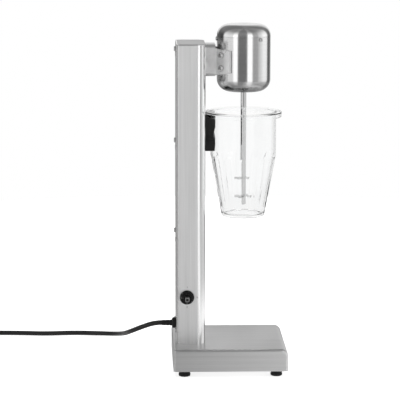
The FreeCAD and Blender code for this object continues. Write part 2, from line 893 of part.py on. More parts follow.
def make_bearing_bridge():
    body = new_body("bearing_bridge")
    low = D.stator_low + 40
    section = sketch(body, "XZ_Plane")
    points = [(4.3, low), (33, low), (33, low + 3.5), (12, low + 3.5), (12, low + 9.5)]
    points += [(9.5, low + 9.5), (9.5, low + 3.5), (4.3, low + 3.5)]
    outline(section, points)
    revolve(body, section)
    vents = sketch(body, "XY_Plane", low)
    circle(vents, 15.5, 15.5, 7)
    around(body, pocket(body, vents, 3.5, reverse=True), 4)
    holes = sketch(body, "XY_Plane", low)
    for side in (-1, 1):
        circle(holes, 0, D.tie_radius * side, 2.1)
    pocket(body, holes, 3.5, reverse=True)
    place(body, D.head_x)
    keep("bearing_bridge", body)


def make_bearings():
    low = D.motor_bottom + 5.5
    bore = D.shaft_radius + 0.05
    keep("lower_bearing", ring("lower_bearing", 11, bore, low, low + 7, D.head_x))
    high = D.stator_low + 43.5
    keep("upper_bearing", ring("upper_bearing", 9.5, 3.05, high, high + 6, D.head_x))
    seal = D.motor_bottom + 0.4
    keep("shaft_seal", ring("shaft_seal", 8, D.shaft_radius + 0.08, seal, seal + 5, D.head_x))


def make_rotor():
    low = D.stator_low
    body = new_body("armature_core")
    disc = sketch(body, "XY_Plane", low)
    circle(disc, 0, 0, D.rotor_radius)
    circle(disc, 0, 0, D.shaft_radius)
    pad(body, disc, D.stator_high)
    slot = sketch(body, "XY_Plane", low)
    rectangle(slot, 10, -1.2, D.rotor_radius + 1, 1.2)
    around(body, pocket(body, slot, D.stator_high, reverse=True), 12)
    place(body, D.head_x)
    keep("armature_core", body)
    top = low + D.stator_high
    upper = ring("winding_upper", 15.5, 6, top, top + 6, D.head_x)
    lower = ring("winding_lower", 15.5, 6, low - 6, low, D.head_x)
    keep("armature_winding", group("armature_winding", upper, lower))

    bars = new_body("commutator")
    start = top + 6.6
    copper = sketch(bars, "XY_Plane", start)
    circle(copper, 0, 0, 9)
    circle(copper, 0, 0, D.shaft_radius)
    pad(bars, copper, 8)
    gap = sketch(bars, "XY_Plane", start)
    rectangle(gap, 8, -0.3, 10, 0.3)
    around(bars, pocket(bars, gap, 8, reverse=True), 12)
    place(bars, D.head_x)
    keep("commutator", bars)


def make_fan():
    body = new_body("cooling_fan")
    low = D.motor_bottom + 13.6
    hub = sketch(body, "XY_Plane", low)
    circle(hub, 0, 0, 8)
    circle(hub, 0, 0, D.shaft_radius)
    pad(body, hub, 6)
    plate = sketch(body, "XY_Plane", low + 4.8)
    circle(plate, 0, 0, 24)
    circle(plate, 0, 0, D.shaft_radius)
    pad(body, plate, 1.2)
    blade = sketch(body, "XY_Plane", low)
    rectangle(blade, 7.5, -0.7, 23.5, 0.7)
    around(body, pad(body, blade, 5), 9)
    place(body, D.head_x)
    keep("cooling_fan", body)


def make_brushes():
    low = D.stator_low + 31.8
    holders = []
    brushes = []
    for side, name in ((-1, "rear"), (1, "front")):
        inner = D.head_x + 10.5 * side
        outer = D.head_x + 25 * side
        tip = D.head_x + 9.06 * side
        heel = D.head_x + 20 * side
        left, right = (outer, inner) if side < 0 else (inner, outer)
        case = box(f"brush_case_{name}", (left, -4, low), (right, 4, low + 8.2))
        slot = box(f"brush_slot_{name}", (left - 1, -3, low + 1), (right + 1, 3, low + 7))
        holders.append(cut(f"brush_holder_{name}", case, slot))
        left, right = (heel, tip) if side < 0 else (tip, heel)
        brushes.append(box(f"brush_{name}", (left, -2.9, low + 1.1), (right, 2.9, low + 6.9)))
    keep("brush_holders", group("brush_holders", *holders))
    keep("carbon_brushes", group("carbon_brushes", *brushes))


# ---------------------------------------------------------------- spindle
def make_motor_shaft():
    body = new_body("motor_shaft")
    low = D.motor_bottom
    step = D.stator_low + 43
    section = sketch(body, "XZ_Plane")
    points = [(0, low - 8), (D.tail_radius, low - 8), (D.tail_radius, low + 2), (D.shaft_radius, low + 2)]
    points += [(D.shaft_radius, step), (3, step), (3, step + 9), (0, step + 9)]
    outline(section, points)
    revolve(body, section)
    place(body, D.head_x)
    keep("motor_shaft", body)


def make_agitator():
    body = new_body("agitator_rod")
    section = sketch(body, "XZ_Plane")
    top = D.motor_bottom + 2
    low = D.rod_low
    points = [(0, D.nut_low + 3), (D.tail_radius, D.nut_low + 3), (D.tail_radius, low), (D.rod_radius, low)]
    points += [(D.rod_radius, top), (D.tail_radius, top), (D.tail_radius, top - 10), (0, top - 10)]
    outline(section, points)
    revolve(body, section)
    place(body, D.head_x)
    keep("agitator_rod", body)

    upper = D.upper_disc_height
    thick = D.disc_thick
    disc = ring("upper_disc", D.upper_disc_radius, D.rod_radius, upper, upper + thick, D.head_x)
    keep("upper_beater_disc", disc)
    lower = D.lower_disc_height
    disc = ring("lower_disc", D.lower_disc_radius, D.tail_radius, lower, lower + thick, D.head_x)
    keep("lower_beater_disc", disc)

    nut = new_body("beater_nut")
    section = sketch(nut, "XZ_Plane")
    base = D.nut_low
    wide = 4.1
    end = base + 3
    points = [(0, base), (wide, base), (wide, lower)]
    points += [(D.tail_radius, lower), (D.tail_radius, end), (0, end)]
    outline(section, points)
    revolve(nut, section)
    soften(nut, "Fillet", 1.6, hoop(wide, base))
    place(nut, D.head_x)
    keep("beater_nut", nut)


# ---------------------------------------------------------------- cup and its holder
def make_cup():
    body = new_body("cup")
    wall = D.cup_wall
    low = D.cup_bottom
    rim = D.cup_rim
    foot = D.cup_foot_radius
    shoulder = D.cup_shoulder
    section = sketch(body, "XZ_Plane")
    points = [
        (0, low + 1),
        (foot - 3, low + 1),
        (foot - 3.6, low),
        (foot - 0.9, low),
        (foot, low + 2.5),
        (D.cup_radius - 0.9, shoulder),
        (D.cup_radius, shoulder + 2),
        (D.cup_radius, rim - D.lip_wall),
        (D.lip_radius - D.lip_wall, rim - D.lip_wall),
        (D.lip_radius - D.lip_wall, rim - D.lip_drop),
        (D.lip_radius, rim - D.lip_drop),
        (D.lip_radius, rim),
        (D.cup_radius - wall, rim),
        (D.cup_radius - wall, shoulder + 2.5),
        (D.cup_radius - wall - 0.9, shoulder + 0.5),
        (foot - wall, low + 5),
        (foot - wall - 4, low + 3.4),
        (0, low + 3.4),
    ]
    outline(section, points)
    revolve(body, section)
    soften(body, "Fillet", 1.5, hoop(D.lip_radius, rim))
    place(body, D.head_x)
    keep("cup", body)


def make_cup_holder():
    """A waisted block with a cradle for the cup's wall and a hook that its folded rim hangs on."""
    clear = 0.4
    scoop = 15.7
    scoop_deep = 2.6
    back = D.column_front
    front = D.holder_front
    half = D.holder_half
    low = D.holder_low
    top = D.holder_top
    block = box("holder_block", (back, -half, low), (front, half, top))
    cradle = rod("holder_cradle", D.cup_radius + clear, 60, D.head_x, 0, low - 4)
    groove_low = D.cup_rim - D.lip_drop
    inside = D.lip_radius - D.lip_wall - clear
    groove = ring("holder_groove", D.lip_radius + 1, inside, groove_low, groove_low + 20, D.head_x)
    middle = low + 23.5
    off_side = half + (scoop - scoop_deep)
    waists = [
        rod("holder_waist_front", scoop, 100, front + (scoop - scoop_deep), -50, middle, "y"),
        rod("holder_waist_far", scoop, 40, back, off_side, middle, "x"),
        rod("holder_waist_near", scoop, 40, back, -off_side, middle, "x"),
    ]
    shaped = cut("holder_shaped", block, cradle, groove, *waists)
    bores = []
    for i, z in enumerate(HOLDER_SCREW_HEIGHTS):
        bores.append(rod(f"holder_tap_{i}", 2, 6, back - 0.01, 0, z, "x"))
    keep("cup_holder", cut("cup_holder", shaped, *bores))
    screw = pan_screw("holder_screw_template", 3.8, 2.6, 2, 6.6, False)
    inner = (D.column_front - D.column_sheet).number
    turn = turned(Vector(-1, 0, 0))
    copies("cup_holder_screws", screw, [Placement(Vector(inner, 0, z), turn) for z in HOLDER_SCREW_HEIGHTS])


# ---------------------------------------------------------------- switch
PIVOT_LONG = 7.8
PIVOT_DEPTH = 1.0


def make_switch():
    x = D.switch_x
    z = D.switch_z
    face = -D.column_half
    inside = face + D.column_sheet + 0.05
    case = box("switch_case", (x - 7, inside, z - 13), (x + 7, face + 20, z + 13))
    neck = rod("switch_neck", 5.9, 5.9, x, face + 2, z, "-y")
    bore = rod("switch_bore", 4.2, 11, x, face + 6, z, "-y")
    keep("switch_body", cut("switch_body", fuse("switch_solid", case, neck), bore))
    nut = hex_nut("switch_nut_template", 6.9, 5.9, 2)
    spot = Placement(Vector(x.number, face.number, z.number), turned(Vector(0, -1, 0)))
    copies("switch_nut", nut, [spot])

    boot = new_body("switch_boot")
    section = sketch(boot, "XZ_Plane")
    wide = D.boot_radius
    points = [(7.3, 0), (wide, 0), (wide, 1.6), (wide - 1.2, 2.2), (wide - 1.6, 4), (wide - 2.8, 4.8)]
    points += [(wide - 3.2, 6.8), (wide - 4, 7.6), (5.4, 7.6), (5.4, 4.8), (7.3, 2.4)]
    outline(section, points)
    revolve(boot, section)
    place(boot, x, face, z, ALONG["-y"])
    keep("switch_boot", boot)

    pivot = rod("switch_pivot", 1.2, PIVOT_LONG, x - PIVOT_LONG / 2, face - PIVOT_DEPTH, z, "x")
    lever = new_body("lever_stick")
    section = sketch(lever, "XZ_Plane")
    points = [(0, -3), (2, -3), (2, 4.6), (3.3, 4.6), (3.3, 14.5), (3.9, 15.5), (3.9, 18), (0, 18)]
    outline(section, points)
    revolve(lever, section)
    soften(lever, "Fillet", 1, hoop(3.9, 18))
    place(lever, x, face, z, ALONG["-y"])
    keep("switch_lever", fuse("switch_lever", lever, pivot))


# ---------------------------------------------------------------- wiring
def arc_path(points, share=0.45):
    """A wire of straight runs joined by tangent arcs, each as large as its two runs allow."""
    spots = [Vector(*point) for point in points]
    edges = []
    radii = []
    start = spots[0]
    for before, corner, after in zip(spots, spots[1:], spots[2:]):
        to_corner = corner - before
        from_corner = after - corner
        reach = share * min(to_corner.Length, from_corner.Length)
        arrive = to_corner.normalize()
        leave = from_corner.normalize()
        half_turn = arrive.getAngle(leave) / 2
        radii.append(reach / math.tan(half_turn))
        first = corner - arrive * reach
        last = corner + leave * reach
        inward = (leave - arrive).normalize()
        middle = corner + inward * (radii[-1] / math.cos(half_turn) - radii[-1])
        edges.append(Part.LineSegment(start, first).toShape())
        edges.append(Part.Arc(first, middle, last).toShape())
        start = last
    edges.append(Part.LineSegment(start, spots[-1]).toShape())
    return Part.Wire(edges), radii


def tube(label, points, diameter):
    """A round tube along a path, with its volume compared with section times length."""
    path, radii = arc_path(points)
    start, ahead = Vector(*points[0]), Vector(*points[1])
    section = Part.Wire(Part.makeCircle(diameter / 2, start, ahead - start))
    shape = path.makePipeShell([section], True, False, 1)
    expected = math.pi * diameter**2 / 4 * path.Length
    if abs(shape.Volume / expected - 1) > 0.01:
        raise RuntimeError(f"{label} has the wrong volume")
    print(label, "length", round(path.Length, 1), "radii", [round(radius, 1) for radius in radii])
    feature = doc.addObject("Part::Feature", label)
    feature.Shape = shape
    feature.Placement = Placement()
    return feature


def make_electrics():
    inside = D.column_front - D.column_sheet
    low = D.base_top + 46
    block = box("terminal_case", (inside - 14, -14, low), (inside, 14, low + 14))
    keep("terminal_block", block)
    over = low + 36
    capacitor = box("capacitor_case", (inside - 16, -11, low + 16), (inside, 11, over))
    keep("suppressor_capacitor", capacitor)

    lead_x = D.column_front.number - 14.0
    high = D.lead_height.number
    route = [(lead_x, 0, over.number), (lead_x, 0, high), (D.head_x.number - 35.5, 0, high)]
    leads = tube("motor_leads", route, 4.4)
    keep("motor_leads", leads)
    grommet_out = D.head_x - D.motor_radius
    flange = ring_x("grommet_flange", 4.4, 2.25, grommet_out - 1.6, grommet_out - 0.1, D.lead_height)
    sleeve = ring_x("grommet_sleeve", 3.45, 2.25, grommet_out - 0.2, grommet_out + 3.4, D.lead_height)
    keep("lead_grommet", fuse("lead_grommet", flange, sleeve))

    gland_x = D.column_back - D.cover_thick
    head = rod("gland_head", D.gland_radius, D.gland_reach, gland_x, 0, D.gland_z, "-x")
    shank = doc.addObject("Part::Cone", "gland_shank")
    bind(shank, "Radius1", CORD_HOLE - 0.1)
    bind(shank, "Radius2", 4.4)
    bind(shank, "Height", 20)
    place(shank, gland_x, 0, D.gland_z, ALONG["x"])
    keep("cord_gland", fuse("cord_gland", head, shank))


def ring_x(name, outer, inner, start, end, z):
    """A collar whose axis is parallel to X."""
    long = end - start
    solid = rod(f"{name}_outer", outer, long, start, 0, z, "x")
    bore = rod(f"{name}_bore", inner, long, start, 0, z, "x")
    return cut(name, solid, bore)


# ---------------------------------------------------------------- mains cord
CORD_ROUTE = [
    (-105, 0, 65),
    (-126, 5, 57),
    (-143, 25, 45.5),
    (-149, 58, 35.5),
    (-152, 98, 25),
    (-158, 137, 15),
    (-172, 168, 7.5),
    (-198, 188, 3.8),
    (-234, 192, 3.8),
    (-274, 187, 3.8),
    (-312, 192, 3.8),
    (-352, 194.5, 3.8),
    (-391, 191.5, 3.8),
]


def make_cord():
    """The cord from the gland to a coil on the floor, the coil's outer shape, and the end with the plug."""
    thick = D.cord_diameter.number
    exit_x = (D.column_back - D.cover_thick - D.gland_reach).number
    route = [(exit_x, 0, D.gland_z.number)] + CORD_ROUTE
    keep("power_cord", tube("power_cord", route, thick))
    low = D.coil_low
    coil = ring("coil_ring", D.coil_outer, D.coil_inner, low, low + D.coil_height, D.coil_x, D.coil_y)
    keep("power_cord_coil", coil)
    tail_x = (D.coil_x - D.coil_outer).number + 1
    tail_y = D.coil_y.number
    tail_z = (low + D.coil_height).number - thick / 2
    lead = [
        (tail_x, tail_y - 12, tail_z),
        (tail_x + 1, tail_y - 24, tail_z + 0.2),
        (tail_x + 1, tail_y - 36, tail_z + 1.6),
    ]
    keep("power_cord_tail", tube("power_cord_tail", lead, thick))
    make_plug(lead[-1])


def make_plug(spot):
    """A moulded three pin plug that lies on the floor, its pins away from the cord."""
    body = new_body("plug_body")
    neck = sketch(body, "XY_Plane")
    circle(neck, 0, 0, 5.2)
    pad(body, neck, 16)
    block = sketch(body, "XY_Plane", 12)
    rectangle(block, -13, -11.8, 13, 11.8)
    pad(body, block, 26)
    soften(body, "Fillet", 6, lambda edge: upright(edge) and edge.BoundBox.ZLength > 20)

    def shoulder(edge):
        span = edge.BoundBox
        return span.ZLength < 1e-6 and abs(span.ZMin - 12) < 1e-3 and span.XLength + span.YLength > 11

    soften(body, "Fillet", 3, shoulder)
    at = Vector(*spot)
    place(body, at.x, at.y, at.z, Rotation(Vector(1, 0, 0), 90))
    keep("plug_body", body)
    face = at.y - 38
    pins = []
    for side in (-1, 1):
        left = at.x + side * 6.35 - 0.75
        low = (left, face - 18, at.z - 0.2)
        pins.append(box(f"plug_blade_{side + 1}", low, (left + 1.5, face, at.z + 6.1)))
    pins.append(rod("plug_earth_pin", 2.4, 21, at.x, face, at.z - 6, "-y"))
    keep("plug_pins", group("plug_pins", *pins))


# ---------------------------------------------------------------- build and write
def check():
    """Stops if any object failed or any finished piece isn't sound."""
    doc.recompute()
    for thing in doc.Objects:
        if "Invalid" in thing.State or "Error" in thing.State:
            raise RuntimeError(f"{thing.Name} failed: {thing.State}")
    for thing in NODES:
        shape = thing.Shape
        if shape.isNull() or not shape.isValid() or not shape.Solids or shape.Volume <= 0:
            raise RuntimeError(f"{thing.Label} isn't a sound solid")


def write():
    os.makedirs("parts", exist_ok=True)
    for thing in NODES:
        thing.Shape.exportStep(f"parts/{thing.Label}.step")


make_base_cover()
make_base_plate()
make_ballast()
make_feet()
make_column_shell()
make_column_cap()
make_column_foot()
make_rear_cover()
make_head_bracket()
make_motor_shell()
make_motor_cap()
make_head_screws()
make_stator()
make_field_coils()
make_tie_bolts()
make_bearing_bridge()
make_bearings()
make_rotor()
make_fan()
make_brushes()
make_motor_shaft()
make_agitator()
make_cup()
make_cup_holder()
make_switch()
make_electrics()
make_cord()
check()
write()
print(len(NODES), "pieces written")
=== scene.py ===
"""Looks of the bar milkshake mixer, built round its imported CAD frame.

Metres, +Z up, +X to the cup side, origin on the floor under the middle of the base."""

import math

import bmesh
import bpy
from mathutils import Matrix, Vector


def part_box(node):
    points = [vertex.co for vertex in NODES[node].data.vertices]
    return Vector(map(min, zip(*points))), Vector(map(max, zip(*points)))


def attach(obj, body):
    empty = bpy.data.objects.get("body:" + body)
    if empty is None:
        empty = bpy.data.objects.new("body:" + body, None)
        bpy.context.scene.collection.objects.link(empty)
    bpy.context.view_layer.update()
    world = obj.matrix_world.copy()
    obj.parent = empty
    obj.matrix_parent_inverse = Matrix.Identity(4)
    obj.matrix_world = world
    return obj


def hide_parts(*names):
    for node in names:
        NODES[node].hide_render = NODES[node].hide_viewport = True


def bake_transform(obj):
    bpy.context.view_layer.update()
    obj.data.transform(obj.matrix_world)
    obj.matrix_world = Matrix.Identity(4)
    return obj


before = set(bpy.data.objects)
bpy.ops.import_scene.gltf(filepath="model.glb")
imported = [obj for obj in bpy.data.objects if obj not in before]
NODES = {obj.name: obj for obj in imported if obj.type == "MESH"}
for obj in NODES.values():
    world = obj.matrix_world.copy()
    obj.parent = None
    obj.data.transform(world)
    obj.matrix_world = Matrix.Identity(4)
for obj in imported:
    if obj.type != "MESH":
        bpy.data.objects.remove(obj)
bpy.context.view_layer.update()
MM = 0.001


# ---------------------------------------------------------------- camera
def make_camera():
    """The camera stands in front of the near side, a little above the cup, and looks slightly down."""
    place = Vector((-0.1396, -2.8079, 0.7219))
    yaw = -0.0347
    pitch = 0.1680
    roll = 0.0020
    data = bpy.data.cameras.new("camera")
    data.sensor_width = 36
    data.lens = 177.32
    data.clip_end = 100
    camera = bpy.data.objects.new("camera", data)
    turn = Matrix.Rotation(yaw, 4, "Z") @ Matrix.Rotation(math.pi / 2 - pitch, 4, "X")
    camera.matrix_world = Matrix.Translation(place) @ turn @ Matrix.Rotation(roll, 4, "Z")
    bpy.context.scene.collection.objects.link(camera)
    bpy.context.scene.camera = camera


# ---------------------------------------------------------------- studio
# Brightness of the room round the mixer, as (degrees, brightness). The angle is level, and goes from the
# camera's side towards the cup side.
ROOM_BANDS = [
    (-180, 0.30), (-150, 0.10), (-104, 0.05), (-94, 0.88), (-61, 0.80), (-51, 0.78),
    (-46, 1.32), (-32, 1.32), (-26, 0.17), (10, 0.17), (15, 1.32), (32, 1.32), (38, 0.38),
    (59, 0.42), (67, 0.70), (95, 1.06), (111, 1.02), (121, 0.15), (141, 0.13), (156, 0.66), (180, 0.70),
]
# Soft steps in what the metal sees, as (start, end, value before, value after).
# These run over a direction's part along Z: how the bands fade upwards, how they brighten from below up to eye
# level, the ceiling's own light, the backdrop's light, and where the backdrop begins. The last runs over the
# direction's part along Y.
BANDS_FADE_UP = (0.10, 0.85, 1, 0.10)
BANDS_GAIN_UP = (-0.14, -0.02, 0.98, 1.24)
CEILING_LIGHT = (0.10, 0.60, 0, 0.19)
BACKDROP_LIGHT = (0.35, 0.65, 0.92, 0.25)
BACKDROP_FOOT = (0.0, 0.08, 0, 1)
BACKDROP_SIDES = (0.80, 0.95, 0, 1)
# These run over metres on the floor: from the rear to the cup side, from the camera to the base, the two edges
# of a paler patch on the cup side, and from the base outwards to where the floor shows the room's bands.
FLOOR_ACROSS = (-0.16, 0.18, 0.40, 0.82)
FLOOR_AWAY = (-0.60, -0.24, 1.6, 1.0)
PATCH_START = (0.10, 0.20, 0, 1)
PATCH_END = (0.42, 0.55, 0.30, -0.15)
FLOOR_OUTWARDS = (0.30, 0.60, 0, 0.6)
FLOOR_BANDS_SHARE = 0.62
FLOOR_RADIUS = 1.5
FLOOR_GLOW = 0.75
# Brightness of the surroundings seen straight through the cup's wall, and after a bounce inside it.
THROUGH_CUP = 0.93
BENT_IN_CUP = 0.72


class Sums:
    """Short calls for the nodes that do sums with values, in a material or in the world."""

    def __init__(self, nodes, link):
        self.nodes = nodes
        self.link = link

    def parts(self, source):
        """The X, Y and Z parts of a vector."""
        node = self.nodes.new("ShaderNodeSeparateXYZ")
        self.link(source, node.inputs[0])
        return node.outputs

    def fill(self, place, value):
        """Sets an input to a number, or links a socket to it."""
        if isinstance(value, (int, float)):
            place.default_value = value
        else:
            self.link(value, place)

    def ramp(self, source, start, end, low, high):
        """A soft step from low to high while the source goes from start to end."""
        step = self.nodes.new("ShaderNodeMapRange")
        step.interpolation_type = "SMOOTHSTEP"
        step.inputs["From Min"].default_value = start
        step.inputs["From Max"].default_value = end
        step.inputs["To Min"].default_value = low
        step.inputs["To Max"].default_value = high
        self.link(source, step.inputs["Value"])
        return step.outputs["Result"]

    def math(self, operation, first, second):
        """One sum of two values, each a socket or a number."""
        node = self.nodes.new("ShaderNodeMath")
        node.operation = operation
        self.fill(node.inputs[0], first)
        self.fill(node.inputs[1], second)
        return node.outputs[0]

    def bands(self, across, away):
        """The brightness of the room's panels and gaps in a level direction."""
        angle = self.math("ARCTAN2", across, self.math("MULTIPLY", away, -1))
        bands = self.nodes.new("ShaderNodeValToRGB")
        bands.color_ramp.interpolation = "EASE"
        marks = bands.color_ramp.elements
        for index, (degrees, bright) in enumerate(ROOM_BANDS):
            at = degrees / 360 + 0.5
            mark = marks[index] if index < 2 else marks.new(at)
            mark.position = at
            mark.color = (bright, bright, bright, 1)
        turn = self.math("ADD", self.math("MULTIPLY", angle, 0.5 / math.pi), 0.5)
        self.link(turn, bands.inputs["Fac"])
        return bands.outputs["Color"]

    def mix(self, factor, first, second):
        """First where the factor is 0, second where it is 1."""
        node = self.nodes.new("ShaderNodeMix")
        for place, value in zip((0, 2, 3), (factor, first, second)):
            self.fill(node.inputs[place], value)
        return node.outputs[0]


def make_world():
    """A white room for the camera, with soft light panels and dark gaps for what the metal reflects."""
    world = bpy.data.worlds.new("studio")
    bpy.context.scene.world = world
    world.use_nodes = True
    nodes = world.node_tree.nodes
    link = world.node_tree.links.new
    sums = Sums(nodes, link)
    across, away, up = sums.parts(nodes.new("ShaderNodeTexCoord").outputs["Generated"])
    gain = sums.math("MULTIPLY", sums.ramp(up, *BANDS_FADE_UP), sums.ramp(up, *BANDS_GAIN_UP))
    panels = sums.math("MULTIPLY", sums.bands(across, away), gain)
    front = sums.math("ADD", panels, sums.ramp(up, *CEILING_LIGHT))
    behind = sums.ramp(up, *BACKDROP_LIGHT)
    share = sums.math("MULTIPLY", sums.ramp(away, *BACKDROP_SIDES), sums.ramp(up, *BACKDROP_FOOT))
    seen_in_metal = sums.mix(share, front, behind)
    path = nodes.new("ShaderNodeLightPath")
    straight = sums.math("LESS_THAN", path.outputs["Glossy Depth"], 0.5)
    seen_in_cup = sums.mix(straight, BENT_IN_CUP, THROUGH_CUP)
    clear = sums.math("MULTIPLY", path.outputs["Is Transmission Ray"], seen_in_cup)
    white = sums.math("MAXIMUM", path.outputs["Is Camera Ray"], clear)
    link(sums.mix(white, seen_in_metal, 1.0), nodes["Background"].inputs["Color"])


def make_lamp(name, place, aim, size, power):
    """One soft square lamp that faces a point and makes no highlight of its own in the metal."""
    data = bpy.data.lights.new(name, "AREA")
    data.shape = "SQUARE"
    data.size = size
    data.energy = power
    lamp = bpy.data.objects.new(name, data)
    lamp.location = place
    lamp.rotation_euler = (Vector(aim) - Vector(place)).to_track_quat("-Z", "Y").to_euler()
    lamp.visible_glossy = False
    bpy.context.scene.collection.objects.link(lamp)


def make_floor():
    """A plain white floor, round and lit evenly. The metal shows it grey, with the room's panels in it."""
    finish = Finish("floor_paint", grey(0.80), roughness=0.9)
    finish.shader.inputs["Specular IOR Level"].default_value = 0.0
    finish.shader.inputs["Emission Color"].default_value = (1, 1, 1, 1)
    finish.shader.inputs["Emission Strength"].default_value = FLOOR_GLOW
    mottle = finish.noise((6, 6, 6), detail=3)
    finish.colour(finish.between(finish.spread(mottle, 0, 1), grey(0.78), grey(0.82)))
    sums = finish.sums
    across, away, _ = sums.parts(finish.place)
    reach = finish.nodes.new("ShaderNodeVectorMath")
    reach.operation = "LENGTH"
    finish.link(finish.place, reach.inputs[0])
    even = sums.math("MULTIPLY", sums.ramp(across, *FLOOR_ACROSS), sums.ramp(away, *FLOOR_AWAY))
    patch = sums.math("MULTIPLY", sums.ramp(across, *PATCH_START), sums.ramp(across, *PATCH_END))
    near = sums.math("ADD", even, patch)
    far = sums.math("MULTIPLY", sums.bands(across, away), FLOOR_BANDS_SHARE)
    light = sums.mix(sums.ramp(reach.outputs["Value"], *FLOOR_OUTWARDS), near, far)
    glow = finish.nodes.new("ShaderNodeEmission")
    path = finish.nodes.new("ShaderNodeLightPath")
    finish.link(sums.mix(path.outputs["Is Transmission Ray"], light, THROUGH_CUP), glow.inputs["Strength"])
    bent = sums.math("MAXIMUM", path.outputs["Is Glossy Ray"], path.outputs["Is Transmission Ray"])
    paint = finish.nodes.new("ShaderNodeMixShader")
    finish.link(bent, paint.inputs[0])
    finish.link(finish.shader.outputs[0], paint.inputs[1])
    finish.link(glow.outputs[0], paint.inputs[2])
    finish.link(paint.outputs[0], finish.nodes["Material Output"].inputs["Surface"])
    build = bmesh.new()
    bmesh.ops.create_circle(build, cap_ends=True, segments=96, radius=FLOOR_RADIUS)
    floor = object_of("floor", build, finish.material)


def make_studio():
    """The room, a large soft lamp overhead and a small one from the cup side."""
    bpy.context.scene.view_settings.view_transform = "Standard"
    make_world()
    make_lamp("top_lamp", place=(0.25, -0.35, 2.3), aim=(0, 0, 0), size=2.2, power=38)
    make_lamp("side_lamp", place=(1.7, -1.4, 1.3), aim=(0, 0, 0.25), size=1.0, power=7)


# ---------------------------------------------------------------- materials
class Finish:
    """A material with short calls for the nodes that the finishes share."""

    def __init__(self, name, colour, metallic=0.0, roughness=0.5):
        self.material = bpy.data.materials.new(name)
        self.material.use_nodes = True
        self.nodes = self.material.node_tree.nodes
        self.link = self.material.node_tree.links.new
        self.sums = Sums(self.nodes, self.link)
        self.shader = self.nodes["Principled BSDF"]
        self.shader.inputs["Base Color"].default_value = (*colour, 1)
        self.shader.inputs["Metallic"].default_value = metallic
        self.shader.inputs["Roughness"].default_value = roughness
        self.place = self.nodes.new("ShaderNodeTexCoord").outputs["Object"]

    def noise(self, stretch, detail=2.0, rough=0.5):
        """Noise with so many grains to the metre along each axis, from 0 to 1."""
        mapping = self.nodes.new("ShaderNodeMapping")
        mapping.inputs["Scale"].default_value = stretch
        self.link(self.place, mapping.inputs["Vector"])
        noise = self.nodes.new("ShaderNodeTexNoise")
        noise.inputs["Scale"].default_value = 1
        noise.inputs["Detail"].default_value = detail
        noise.inputs["Roughness"].default_value = rough
        self.link(mapping.outputs["Vector"], noise.inputs["Vector"])
        return noise.outputs["Fac"]

    def spread(self, source, low, high, start=0.3, end=0.7):
        """Maps a value from start..end to low..high."""
        change = self.nodes.new("ShaderNodeMapRange")
        change.inputs["From Min"].default_value = start
        change.inputs["From Max"].default_value = end
        change.inputs["To Min"].default_value = low
        change.inputs["To Max"].default_value = high
        self.link(source, change.inputs["Value"])
        return change.outputs["Result"]

    def between(self, factor, dark, light):
        """A colour that runs between two others."""
        mix = self.nodes.new("ShaderNodeMix")
        mix.data_type = "RGBA"
        self.link(factor, mix.inputs["Factor"])
        mix.inputs["A"].default_value = (*dark, 1)
        mix.inputs["B"].default_value = (*light, 1)
        return mix.outputs["Result"]

    def colour(self, source):
        self.link(source, self.shader.inputs["Base Color"])

    def roughness(self, source):
        self.link(source, self.shader.inputs["Roughness"])

    def bump(self, height, depth, strength=1.0, edge=0.0):
        """Raises the surface by a height map that is depth metres high, over edges rounded by edge metres."""
        bump = self.nodes.new("ShaderNodeBump")
        if edge:
            rounded = self.nodes.new("ShaderNodeBevel")
            rounded.inputs["Radius"].default_value = edge
            self.link(rounded.outputs["Normal"], bump.inputs["Normal"])
        bump.inputs["Distance"].default_value = depth
        bump.inputs["Strength"].default_value = strength
        self.link(height, bump.inputs["Height"])
        self.link(bump.outputs["Normal"], self.shader.inputs["Normal"])

    def stretch_gloss(self, axis, amount, turn=0.0):
        """Stretches the gloss round an axis of the object, or turns it from that by a share of a circle."""
        tangent = self.nodes.new("ShaderNodeTangent")
        tangent.direction_type = "RADIAL"
        tangent.axis = axis
        self.link(tangent.outputs[0], self.shader.inputs["Tangent"])
        self.shader.inputs["Anisotropic"].default_value = amount
        self.shader.inputs["Anisotropic Rotation"].default_value = turn


def grey(level):
    return (level, level, level)


def shaded(colour, share):
    """The same colour, darker where the share is under 1."""
    return tuple(channel * share for channel in colour)


# How far the brushing stretches a highlight, what is left of that in a polished corner, and the corner's
# roughness.
BRUSHED_STRETCH = 0.8
POLISHED_STRETCH = 0.2
POLISHED_ROUGH = 0.2
# The column's polished corners, rear and front, as (start, end) along X in metres.
COLUMN_CORNERS = ((-0.0750, -0.0725), (-0.0500, -0.0455))
# The heights between which a painted shade along the motor housing's bottom edge goes from full to gone, and
# how bright the painted shade leaves the colour, as a share.
MOTOR_PAINTED_SHADE_FULL = 0.4060
MOTOR_PAINTED_SHADE_GONE = 0.4210
PAINTED_SHADE_SHARE = 0.16


